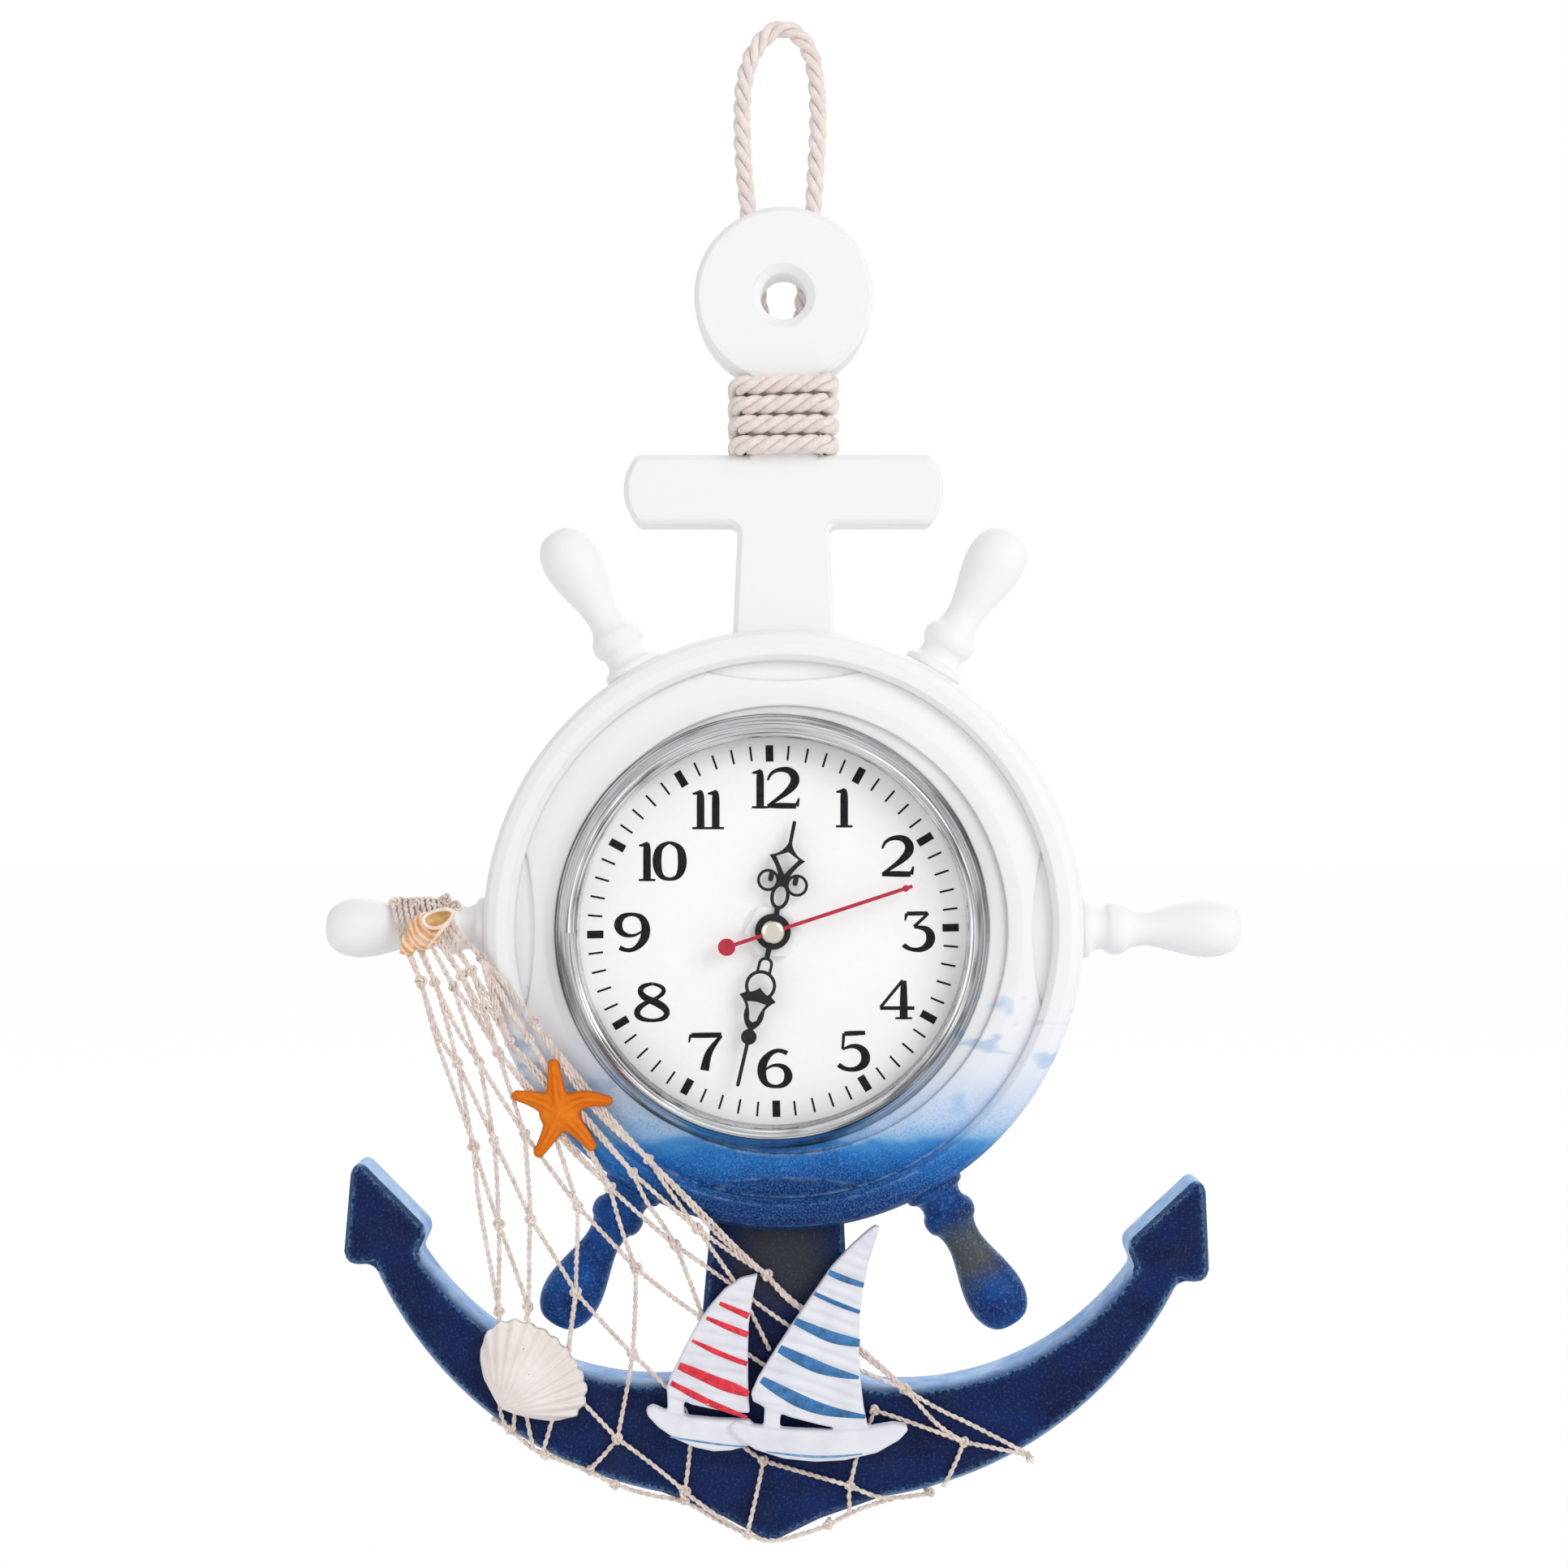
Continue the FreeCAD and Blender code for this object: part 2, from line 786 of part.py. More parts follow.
def screw_places():
    up = math.sqrt(screw_ring_radius**2 - screw_spread**2)
    top = [Vector(side * screw_spread, 0, up) for side in (-1, 1)]
    turn = FreeCAD.Rotation(AXIS, anchor_turn_degrees)
    bottom = [turn.multVec(Vector(side * screw_spread, 0, -up)) for side in (-1, 1)]
    return top + bottom


def screw_space(gap):
    # A countersunk screw with its head flush in the boards' backs, or the hole for it with a gap
    return [
        (0, 0),
        (screw_head_radius + gap, 0),
        (screw_shank_radius + gap, -screw_head_depth),
        (screw_shank_radius + gap, -screw_length + screw_shank_radius),
        (0, -screw_length - gap),
    ]


def make_lap_screws():
    screws = []
    for place in screw_places():
        slot = box(
            -screw_head_radius - overrun,
            screw_head_radius + overrun,
            overrun,
            -screw_slot_depth,
            -screw_slot_width / 2,
            screw_slot_width / 2,
        )
        slot.translate(place)
        screws.append(turned(screw_space(0), place).cut(slot))
    return Part.makeCompound(screws)


def drill_for_screws(solid):
    for place in screw_places():
        solid = solid.cut(turned(screw_space(running_gap), place))
    return solid


# Wheel ring
def land_cutter(quarter):
    side_up = math.sqrt(step_radius**2 - land_half_width**2)
    face = face_through(
        [
            (-land_half_width, side_up),
            ((0, step_radius), (land_half_width, side_up)),
            ((0, step_radius - land_reach), (-land_half_width, side_up)),
        ]
    )
    floor = -(ring_thickness - step_depth - land_recess)
    return turn_clockwise(plate(face, floor, -ring_thickness), quarter * 90)


def handle_angle(index):
    return index * 360 / handle_count


def to_handle(shape, index):
    shape.translate(AXIS * -handle_axis_depth)
    return turn_clockwise(shape, -handle_angle(index))


def make_wheel_ring():
    inner = bore_radius - abs(insert_across) - abs(insert_above) - overrun
    shoulder = ring_front_chamfer / 3
    crest = -ring_thickness
    step_floor = crest + step_depth
    band_crest = step_floor - band_rise
    band_top_radius = lip_radius + band_crest_share * (step_radius - lip_radius)
    ring = turned(
        [
            (inner, 0),
            (ring_radius - ring_back_chamfer, 0),
            (ring_radius, -ring_back_chamfer),
            (ring_radius, crest + ring_front_chamfer),
            (ring_radius - shoulder, crest + shoulder),
            (ring_radius - ring_front_chamfer, crest),
            (step_radius + step_shoulder, crest),
            (step_radius, crest + step_shoulder),
            (step_radius, step_floor),
            (band_top_radius, band_crest),
            (lip_radius, band_crest),
            (lip_radius, seat_front),
            (inner, seat_front),
        ]
    )
    ring = ring.cut(rod(bezel_radius + soft_gap, seat_front, -ring_thickness - overrun, insert_centre))
    ring = ring.cut(rod(bore_radius, overrun, -ring_thickness - overrun, insert_centre))
    for quarter in range(4):
        ring = ring.cut(land_cutter(quarter))
    for index in range(handle_count):
        socket_length = tenon_length + fit_gap
        socket = Part.makeCylinder(
            tenon_radius + running_gap, socket_length + overrun, Vector(ring_radius - socket_length, 0, 0), ACROSS
        )
        ring = ring.cut(to_handle(socket, index))
    ring = ring.cut(lap_pocket(upper_shank_half, 1, 0))
    ring = ring.cut(lap_pocket(lower_shank_half, -1, anchor_turn_degrees))
    return drill_for_screws(ring)


# Handles
def make_handle(index):
    cove_start = ring_radius + collar_length
    cove_end = cove_start + cove_length
    bead_end = cove_end + bead_length
    profile = [
        (ring_radius - tenon_length, 0),
        (ring_radius - tenon_length, tenon_radius),
        (ring_radius, tenon_radius),
        (ring_radius, collar_radius),
        (cove_start, collar_radius),
        (cove_end, quirk_radius),
        ((cove_end + bead_end) / 2, bead_radius),
        (bead_end, quirk_radius),
    ]
    profile += [(ring_radius + out * handle_length, share * grip_radius) for out, share in grip_shares]
    profile.append((ring_radius + handle_length, 0))
    return to_handle(face_through(profile, along_handle).revolve(ORIGIN, ACROSS, 360), index)


# Rope
def cord_edges(points, corner_radius=None):
    # Straight runs joined by tangent arcs; returns the edges and the arcs' radii
    edges = []
    radii = []
    start = points[0]
    for before, corner, after in zip(points, points[1:], points[2:]):
        arriving = corner - before
        leaving = after - corner
        turn = arriving.getAngle(leaving)
        reach = rope_run_share * min(arriving.Length, leaving.Length)
        if corner_radius:
            reach = corner_radius * math.tan(turn / 2)
        radius = reach / math.tan(turn / 2)
        arriving.normalize()
        leaving.normalize()
        inward = leaving - arriving
        inward.normalize()
        first = corner - arriving * reach
        last = corner + leaving * reach
        middle = corner + inward * (radius / math.cos(turn / 2) - radius)
        edges.append(Part.makeLine(start, first))
        edges.append(Part.Arc(first, middle, last).toShape())
        radii.append(radius)
        start = last
    edges.append(Part.makeLine(start, points[-1]))
    return edges, radii


def tube_along(edges, radius):
    path = Part.Wire(edges)
    start = edges[0].Vertexes[0].Point
    turn = FreeCAD.Rotation(UP, edges[0].tangentAt(edges[0].FirstParameter))
    angles = [2 * math.pi * k / rope_sides for k in range(rope_sides)]
    corners = [start + turn.multVec(Vector(radius * math.cos(a), radius * math.sin(a), 0)) for a in angles]
    section = Part.makePolygon(corners + corners[:1])
    tube = path.makePipeShell([section], True, False)
    return tube, path.Length, tube.Volume / (Part.Face(section).Area * path.Length)


def wrap_points():
    rope_radius = wrap_diameter / 2
    across = neck_half_width + rope_radius + fit_gap
    back = rope_radius + fit_gap
    front = -board_thickness - rope_radius - fit_gap
    points = [Vector(across, wrap_tail - rope_radius, wrap_up(0))]
    for turn in range(wrap_turns):
        up = wrap_up(turn)
        if turn > 0:
            points.append(Vector(across, back, up))
        points.append(Vector(across, front, up))
        points.append(Vector(-across, front, up))
        if turn < wrap_turns - 1:
            points.append(Vector(-across, back, up))
    points.append(Vector(-across, wrap_tail - rope_radius, wrap_up(wrap_turns - 1)))
    return points


def wrap_up(turn):
    # Height of a turn's level front pass; the lowest just clears the stock
    lowest = stock_top + wrap_diameter / 2 + fit_gap
    return lowest + (wrap_turns - 1 - turn) * wrap_pitch


def least_self_gap(edges, diameter):
    # Points along the winding, each against those more than a third of a turn further on
    samples = []
    total = 0
    for edge in edges:
        count = max(2, int(edge.Length / (diameter / 4)))
        for k in range(count):
            parameter = edge.getParameterByLength(edge.Length * k / count)
            samples.append((total + edge.Length * k / count, edge.valueAt(parameter)))
        total += edge.Length
    away = 4 * diameter
    least = min(
        p.distanceToPoint(q)
        for i, (s, p) in enumerate(samples)
        for t, q in samples[i + 1 :]
        if t - s > away
    )
    return least - diameter


def make_rope_wrap():
    edges, radii = cord_edges(wrap_points(), wrap_corner_radius)
    tube, length, ratio = tube_along(edges, wrap_diameter / 2)
    print("lashing: length %.1f, volume share %.4f" % (length, ratio))
    print("lashing: least gap to itself %.2f" % least_self_gap(edges, wrap_diameter))
    return tube


def lashing_top_behind(across):
    # Top of the first slanting pass behind the neck, where the loop's ends are tucked in
    half = neck_half_width + wrap_diameter / 2 + fit_gap
    fall = wrap_pitch * (across - rope_diameter / 2 + half) / (2 * half)
    return wrap_up(0) - fall + wrap_diameter / 2 + soft_gap


def make_hanging_rope():
    behind = rope_diameter / 2 + soft_gap
    route = [(rope_left_foot, lashing_top_behind(rope_left_foot) + fit_gap)]
    route += rope_route
    route.append((rope_right_foot, lashing_top_behind(rope_right_foot) + fit_gap))
    points = [Vector(across, behind, up) for across, up in route]
    edges, radii = cord_edges(points)
    tube, length, ratio = tube_along(edges, rope_diameter / 2)
    print("hanging rope: length %.1f, volume share %.4f" % (length, ratio))
    print("hanging rope: arc radii " + " ".join("%.1f" % radius for radius in radii))
    return tube


# Clock insert
def make_bezel():
    base = seat_front
    rim_inner = bezel_radius - bezel_rim_width
    rim_front = base - bezel_flange - bezel_rim_width
    groove_inner = rim_inner - bezel_groove_width
    lens_front = -(lens_back_depth + lens_thickness)
    crown_width = groove_inner - bezel_opening_radius
    profile = [
        (case_radius + fit_gap, base),
        (bezel_radius, base),
        (bezel_radius, base - bezel_flange),
        (rim_inner, rim_front),
        (groove_inner, rim_front + bezel_groove_width),
    ]
    for width_share, height_share in bezel_crown_shares:
        profile.append((bezel_opening_radius + width_share * crown_width, base - height_share * bezel_height))
    profile += [(bezel_opening_radius, lens_front - fit_gap), (case_radius + fit_gap, lens_front - fit_gap)]
    return turned(profile, insert_centre)


def make_lens():
    back = -lens_back_depth
    return rod(case_radius, back, back - lens_thickness, insert_centre)


def make_insert_case():
    front = -lens_back_depth
    outer = rod(case_radius, front + case_length, front, insert_centre)
    floor_front = -dial_back_depth
    inside = case_radius - case_wall
    outer = outer.cut(rod(inside, floor_front, front - overrun, insert_centre))
    outer = outer.cut(rod(inside, front + case_length + overrun, floor_front + case_floor, insert_centre))
    return outer.cut(rod(bush_radius + fit_gap, overrun, front, insert_centre))


def make_gasket_band():
    back = -band_back
    outer = rod(bore_radius - running_gap, back, back - band_width, insert_centre)
    return outer.cut(rod(case_radius, back + overrun, back - band_width - overrun, insert_centre))


def make_dial():
    back = -dial_back_depth
    disc = rod(dial_radius, back, back - dial_thickness, insert_centre)
    return disc.cut(rod(bush_radius + fit_gap, back + overrun, back - dial_thickness - overrun, insert_centre))


# Quartz movement
movement_front = -(dial_back_depth - case_floor)
plate_back = movement_front + movement_floor
cover_front = -(movement_back_depth + cover_thickness)
battery_centre_depth = -battery_axis_depth
half_movement = movement_size / 2


def movement_block(back, front, inset):
    half = half_movement - inset
    block = box(-half, half, back, front, -half, half)
    corners = [(sx * half, sz * half) for sx in (-1, 1) for sz in (-1, 1)]
    return round_edges(block, movement_corner_round - inset, upright_near(corners))


def bearing_place(radius, degrees, start=ORIGIN):
    angle = math.radians(degrees)
    return start + Vector(radius * math.cos(angle), 0, radius * math.sin(angle))


motion_spacing = motion_module * (minute_wheel_teeth + centre_pinion_teeth) / 2
hour_module = 2 * motion_spacing / (hour_teeth + minute_pinion_teeth)
setting_spacing = motion_module * (minute_wheel_teeth + setting_pinion_teeth) / 2
third_spacing = centre_module * (centre_teeth + third_pinion_teeth) / 2
third_module = 2 * third_spacing / (third_teeth + second_pinion_teeth)
intermediate_spacing = second_module * (second_teeth + intermediate_pinion_teeth) / 2
rotor_spacing = rotor_module * (intermediate_teeth + rotor_pinion_teeth) / 2
minute_wheel_place = bearing_place(motion_spacing, minute_wheel_bearing)
setting_place = bearing_place(setting_spacing, setting_bearing, minute_wheel_place)
third_place = bearing_place(third_spacing, third_bearing)
intermediate_place = bearing_place(intermediate_spacing, intermediate_bearing)
rotor_place = bearing_place(rotor_spacing, rotor_bearing, intermediate_place)
front_pivots = [third_place, intermediate_place, rotor_place, minute_wheel_place, setting_place]


def behind(front_depth, length):
    return -front_depth + length + 2 * soft_gap


# Where each arbor's rear end is held, and how far forward its boss reaches
rear_bearings = {
    "second": (ORIGIN, behind(second_wheel_depth, wheel_thickness)),
    "third": (third_place, behind(third_wheel_depth, wheel_thickness)),
    "intermediate": (intermediate_place, behind(intermediate_wheel_depth, wheel_thickness)),
    "rotor": (rotor_place, behind(magnet_depth, magnet_length)),
    "minute": (minute_wheel_place, behind(centre_wheel_depth, wheel_thickness)),
}


def to_insert(shape):
    shape.translate(insert_centre)
    return shape


def make_movement_front_case():
    shell = movement_block(cover_front, movement_front, 0)
    hollow = movement_block(cover_front + overrun, plate_back, movement_wall)
    shell = shell.cut(hollow)
    inner = half_movement - movement_wall
    top = -battery_below + battery_radius + battery_side_gap + partition_thickness
    shell = shell.fuse(box(-inner, inner, cover_front, plate_back, top - partition_thickness, top))
    trough = Part.makeCylinder(
        battery_radius + battery_side_gap,
        2 * inner,
        Vector(-inner, battery_centre_depth, -battery_below),
        ACROSS,
    )
    shell = shell.cut(trough)
    for corner in ((board_left + 2 * post_radius, board_top), (board_left + 2 * post_radius, board_bottom)):
        up = corner[1] - math.copysign(2 * post_radius, corner[1])
        shell = shell.fuse(rod(post_radius, -board_depth - circuit_thickness, plate_back, Vector(corner[0], 0, up)))
    shell = shell.fuse(rod(bush_radius, plate_back, -bush_front_depth))
    shell = shell.cut(rod(bush_bore_radius, overrun, -bush_front_depth - overrun))
    for place in front_pivots:
        shell = shell.cut(rod(arbor_radius + running_gap, plate_back + overrun, plate_back - pivot_depth - fit_gap, place))
    return to_insert(shell.removeSplitter())


def make_movement_rear_case():
    cover = movement_block(-movement_back_depth, cover_front, 0)
    inner = half_movement - movement_wall
    window = box(
        -inner,
        inner,
        overrun,
        -half_movement,
        -battery_below - battery_radius - battery_side_gap,
        -battery_below + battery_radius + battery_side_gap,
    )
    cover = cover.cut(window)
    for place, boss_front in rear_bearings.values():
        boss = box(-pivot_boss_half, pivot_boss_half, cover_front, boss_front, -pivot_boss_half, pivot_boss_half)
        boss.translate(place)
        cover = cover.fuse(boss)
        cover = cover.cut(rod(arbor_radius + running_gap, boss_front + pivot_depth + fit_gap, boss_front - overrun, place))
    cover = cover.cut(rod(arbor_radius + running_gap, overrun, -half_movement, setting_place))
    return to_insert(cover)


def make_movement_washer():
    back = -(dial_back_depth + dial_thickness)
    disc = rod(washer_radius, back, back - washer_thickness)
    return to_insert(disc.cut(rod(bush_radius + fit_gap, back + overrun, back - washer_thickness - overrun)))


def make_movement_nut():
    back = -(dial_back_depth + dial_thickness + washer_thickness)
    corner = nut_across_flats / 2 / math.cos(math.pi / nut_sides)
    points = [bearing_place(corner, 60 * k) for k in range(6)]
    hexagon = Part.Face(Part.makePolygon(points + points[:1]))
    nut = plate(hexagon, back, back - nut_thickness)
    return to_insert(nut.cut(rod(bush_radius + running_gap, overrun, -lens_back_depth)))


def make_battery():
    start = Vector(-battery_length / 2, battery_centre_depth, -battery_below)
    body = Part.makeCylinder(battery_radius, battery_length, start, ACROSS)
    body = ease_edges(body, battery_nub_length / 2, lambda edge: edge.Closed)
    nub_start = start + ACROSS * battery_length
    return to_insert(body.fuse(Part.makeCylinder(battery_nub_radius, battery_nub_length, nub_start, ACROSS)))


def make_contact(side):
    # side is 1 for the plus contact at the right end, -1 for the sprung one at the left
    wall = half_movement - movement_wall
    centre = Vector(0, battery_centre_depth, -battery_below)
    half = contact_size / 2
    leaf = Part.makeBox(contact_thickness, contact_size, contact_size, Vector(wall - contact_thickness, -half, -half))
    reach = battery_length / 2 + battery_side_gap
    if side > 0:
        reach += battery_nub_length
    tip = Part.makeCone(
        contact_spring_radius,
        contact_spring_tip_radius,
        wall - contact_thickness - reach,
        Vector(wall - contact_thickness, 0, 0),
        -ACROSS,
    )
    contact = leaf.fuse(tip)
    if side < 0:
        contact = contact.mirror(ORIGIN, ACROSS)
    contact.translate(centre)
    return to_insert(contact)


def make_circuit_board():
    board = box(board_left, board_right, -board_depth, -board_depth - circuit_thickness, board_bottom, board_top)
    middle = (board_left + board_right) / 2
    back = -board_depth
    chip = rod(chip_radius, back + chip_thickness, back, Vector(middle, 0, (board_bottom + board_top) / 2))
    can_start = Vector(middle - crystal_length / 2, back + crystal_radius - fit_gap, board_top - 2 * post_radius)
    can = Part.makeCylinder(crystal_radius, crystal_length, can_start, ACROSS)
    return to_insert(board.fuse(chip).fuse(can))


def make_stator():
    # Two legs from the coil's core down to a pole piece round the rotor
    pole_up = rotor_place.z
    outer = stator_leg_across + stator_leg_width / 2
    bar = box(-outer, outer, -stator_depth, -stator_depth - stator_thickness, pole_up - stator_leg_width / 2,
              pole_up + stator_leg_width / 2)
    pole = rod(stator_pole_radius, -stator_depth, -stator_depth - stator_thickness, rotor_place)
    shape = bar.fuse(pole)
    for side in (-1, 1):
        inner = side * stator_leg_across - stator_leg_width / 2
        leg = box(inner, inner + stator_leg_width, -stator_depth, -stator_depth - stator_thickness, pole_up,
                  coil_above + core_width / 2)
        shape = shape.fuse(leg)
    hole = rod(stator_hole_radius, overrun, -movement_size, rotor_place)
    return to_insert(shape.cut(hole).removeSplitter())


def make_coil_bobbin():
    core_back = -stator_depth - stator_thickness
    outer = stator_leg_across + stator_leg_width / 2
    core = box(-outer, outer, core_back, core_back - core_thickness, coil_above - core_width / 2,
               coil_above + core_width / 2)
    for side in (-1, 1):
        start = Vector(side * (coil_length / 2 + flange_thickness / 2) - flange_thickness / 2, -coil_depth, coil_above)
        core = core.fuse(Part.makeCylinder(flange_radius, flange_thickness, start, ACROSS))
    return to_insert(core)


def make_coil_winding():
    start = Vector(-coil_length / 2, -coil_depth, coil_above)
    winding = Part.makeCylinder(coil_radius, coil_length, start, ACROSS)
    core_back = -stator_depth - stator_thickness
    core = box(-movement_size, movement_size, core_back + running_gap, core_back - core_thickness - running_gap,
               coil_above - core_width / 2 - running_gap, coil_above + core_width / 2 + running_gap)
    return to_insert(winding.cut(core))


# Wheels
def gear_disc(teeth, module, depth, thickness, place, phase):
    # A toothed disc behind its front face, with a tooth's middle at the phase angle
    pitch_radius = teeth * module / 2
    tip = pitch_radius + tooth_height_share * module
    root = pitch_radius - tooth_height_share * module
    half_pitch = math.pi / teeth
    corners = []
    for k in range(teeth):
        middle = phase + 2 * math.pi * k / teeth
        for radius, share in (
            (root, -tooth_root_share),
            (tip, -tooth_tip_share),
            (tip, tooth_tip_share),
            (root, tooth_root_share),
        ):
            angle = middle + share * half_pitch
            corners.append(Vector(radius * math.cos(angle), 0, radius * math.sin(angle)))
    disc = plate(Part.Face(Part.makePolygon(corners + corners[:1])), -depth + thickness, -depth)
    disc.translate(place)
    return disc


def meshing_phase(teeth, phase, other_teeth, bearing_degrees):
    # The phase that puts a tooth of the other wheel in a gap of this one
    bearing = math.radians(bearing_degrees)
    return bearing + math.pi - (teeth * (phase - bearing) + math.pi) / other_teeth


centre_phase = meshing_phase(minute_wheel_teeth, 0.0, centre_pinion_teeth, minute_wheel_bearing + 180)
setting_phase = meshing_phase(minute_wheel_teeth, 0.0, setting_pinion_teeth, setting_bearing)
hour_phase = meshing_phase(minute_pinion_teeth, 0.0, hour_teeth, minute_wheel_bearing + 180)
third_pinion_phase = meshing_phase(centre_teeth, 0.0, third_pinion_teeth, third_bearing)
second_pinion_phase = meshing_phase(third_teeth, 0.0, second_pinion_teeth, third_bearing + 180)
intermediate_pinion_phase = meshing_phase(second_teeth, 0.0, intermediate_pinion_teeth, intermediate_bearing)
rotor_pinion_phase = meshing_phase(intermediate_teeth, 0.0, rotor_pinion_teeth, rotor_bearing)


def make_hour_wheel():
    wheel = gear_disc(hour_teeth, hour_module, hour_wheel_depth, wheel_thickness, ORIGIN, hour_phase)
    wheel = wheel.fuse(rod(hour_pipe_radius, -hour_wheel_depth, -hour_hand_depth - hand_thickness))
    return to_insert(wheel.cut(rod(hour_pipe_bore, overrun, -lens_back_depth)).removeSplitter())


def make_centre_wheel():
    wheel = gear_disc(centre_teeth, centre_module, centre_wheel_depth, wheel_thickness, ORIGIN, 0.0)
    pinion_back = centre_pinion_depth - pinion_length
    pinion = gear_disc(centre_pinion_teeth, motion_module, centre_pinion_depth, pinion_length, ORIGIN, centre_phase)
    sleeve = rod(minute_pipe_radius, -pinion_back, -centre_wheel_depth)
    pipe = rod(minute_pipe_radius, -centre_pinion_depth, -minute_hand_depth - hand_thickness)
    wheel = wheel.fuse(pinion).fuse(sleeve).fuse(pipe)
    return to_insert(wheel.cut(rod(minute_pipe_bore, overrun, -lens_back_depth)).removeSplitter())


def make_second_wheel():
    wheel = gear_disc(second_teeth, second_module, second_wheel_depth, wheel_thickness, ORIGIN, 0.0)
    pinion = gear_disc(second_pinion_teeth, third_module, third_wheel_depth + soft_gap, pinion_length, ORIGIN,
                       second_pinion_phase)
    rear = rear_bearings["second"][1] + pivot_depth
    arbor = rod(arbor_radius, rear, -second_hand_depth - hand_thickness)
    return to_insert(wheel.fuse(pinion).fuse(arbor).removeSplitter())


def two_part_wheel(name, wheel, pinion):
    # An arbor between the front plate and the cover, with its wheel and its pinion
    place, rear = rear_bearings[name]
    arbor = rod(arbor_radius, rear + pivot_depth, plate_back - pivot_depth, place)
    return to_insert(arbor.fuse(wheel).fuse(pinion).removeSplitter())


def make_third_wheel():
    wheel = gear_disc(third_teeth, third_module, third_wheel_depth, wheel_thickness, third_place, 0.0)
    pinion = gear_disc(third_pinion_teeth, centre_module, centre_wheel_depth + soft_gap, pinion_length, third_place,
                       third_pinion_phase)
    return two_part_wheel("third", wheel, pinion)


def make_intermediate_wheel():
    wheel = gear_disc(intermediate_teeth, rotor_module, intermediate_wheel_depth, wheel_thickness,
                      intermediate_place, 0.0)
    pinion = gear_disc(intermediate_pinion_teeth, second_module, second_wheel_depth + soft_gap, pinion_length,
                       intermediate_place, intermediate_pinion_phase)
    return two_part_wheel("intermediate", wheel, pinion)


def make_rotor():
    pinion = gear_disc(rotor_pinion_teeth, rotor_module, intermediate_wheel_depth + soft_gap, pinion_length,
                       rotor_place, rotor_pinion_phase)
    magnet = rod(magnet_radius, -magnet_depth + magnet_length, -magnet_depth, rotor_place)
    return two_part_wheel("rotor", magnet, pinion)


def make_minute_wheel():
    wheel = gear_disc(minute_wheel_teeth, motion_module, centre_pinion_depth - soft_gap, wheel_thickness,
                      minute_wheel_place, 0.0)
    pinion = gear_disc(minute_pinion_teeth, hour_module, hour_wheel_depth, pinion_length,
                       minute_wheel_place, 0.0)
    return two_part_wheel("minute", wheel, pinion)


def make_setting_knob():
    pinion = gear_disc(setting_pinion_teeth, motion_module, centre_pinion_depth, pinion_length,
                       setting_place, setting_phase)
    cover_back = -movement_back_depth
    rim = [bearing_place(knob_radius, 360 * k / knob_sides, setting_place) for k in range(knob_sides)]
    knob = plate(Part.Face(Part.makePolygon(rim + rim[:1])), cover_back + running_gap + knob_length,
                 cover_back + running_gap)
    arbor = rod(arbor_radius, cover_back + running_gap, plate_back - pivot_depth, setting_place)
    return to_insert(knob.fuse(arbor).fuse(pinion).removeSplitter())


# Hands
def disc_face(radius, across=0.0, out=0.0):
    return Part.Face(Part.Wire(Part.makeCircle(radius, Vector(across, 0, out), -AXIS)))


def oval_face(half_width, half_length, out):
    oval = Part.Ellipse(Vector(0, 0, out + half_length), Vector(half_width, 0, out), Vector(0, 0, out))
    return Part.Face(Part.Wire(oval.toShape()))


def bar_face(half_width, near, far):
    return face_through([(-half_width, near), (half_width, near), (half_width, far), (-half_width, far)])


def needle_face(near, far):
    tip = far - needle_half_width
    return face_through(
        [
            (-needle_half_width, near),
            (needle_half_width, near),
            (needle_half_width, tip),
            ((0, far), (-needle_half_width, tip)),
        ]
    )


def hand_from(faces, holes, depth, degrees):
    shape = plate(faces[0], -depth, -depth - hand_thickness)
    for face in faces[1:]:
        shape = shape.fuse(plate(face, -depth, -depth - hand_thickness))
    for hole in holes:
        shape = shape.cut(plate(hole, -depth + overrun, -depth - hand_thickness - overrun))
    shape = turn_clockwise(shape.removeSplitter(), degrees)
    return to_insert(shape)


def make_hour_hand():
    length = hour_hand_length
    loop_out = hour_loop_out_share * length
    foot = hour_shield_foot_share * length
    web = hour_web_foot_share * length
    needle_foot = hour_needle_foot_share * length
    waist = (foot + shield_out) / 2
    outer_shield = mirrored_face(
        [
            (0, foot),
            (stalk_half_width * 2, foot),
            ((shield_half_width * 0.55, waist), (shield_half_width, shield_out)),
            ((shield_half_width * 0.32, (shield_out + needle_foot) / 2), (needle_half_width, needle_foot)),
            (0, needle_foot),
        ]
    )
    opening = mirrored_face(
        [
            (0, foot + shield_line / 2),
            (shield_half_width - shield_line * 1.1, shield_out),
            (0, shield_out + shield_line * 0.9),
        ]
    )
    web_face = bar_face(scroll_across - scroll_radius + scroll_line, web, foot + stalk_half_width)
    faces = [disc_face(hub_radius), bar_face(stalk_half_width, hub_radius / 2, loop_out)]
    faces += [oval_face(loop_half_width, loop_half_length, loop_out)]
    faces += [disc_face(scroll_radius, side * scroll_across, scroll_out) for side in (-1, 1)]
    faces += [web_face, outer_shield, needle_face(needle_foot - stalk_half_width, length)]
    holes = [oval_face(loop_half_width - loop_line, loop_half_length - loop_line, loop_out)]
    holes += [disc_face(hour_pipe_radius)]
    holes.append(opening)
    for side in (-1, 1):
        hole = disc_face(scroll_radius - scroll_line, side * scroll_across, scroll_out)
        stub = face_through(
            [
                (side * comma_across - comma_radius, comma_out),
                (side * comma_across + comma_radius, comma_out),
                (side * comma_across + comma_radius, comma_out + scroll_radius),
                (side * comma_across - comma_radius, comma_out + scroll_radius),
            ]
        )
        hole = hole.cut(disc_face(comma_radius, side * comma_across, comma_out)).cut(stub)
        holes.append(hole.Faces[0])
    return hand_from(faces, holes, hour_hand_depth, hour_hand_degrees)


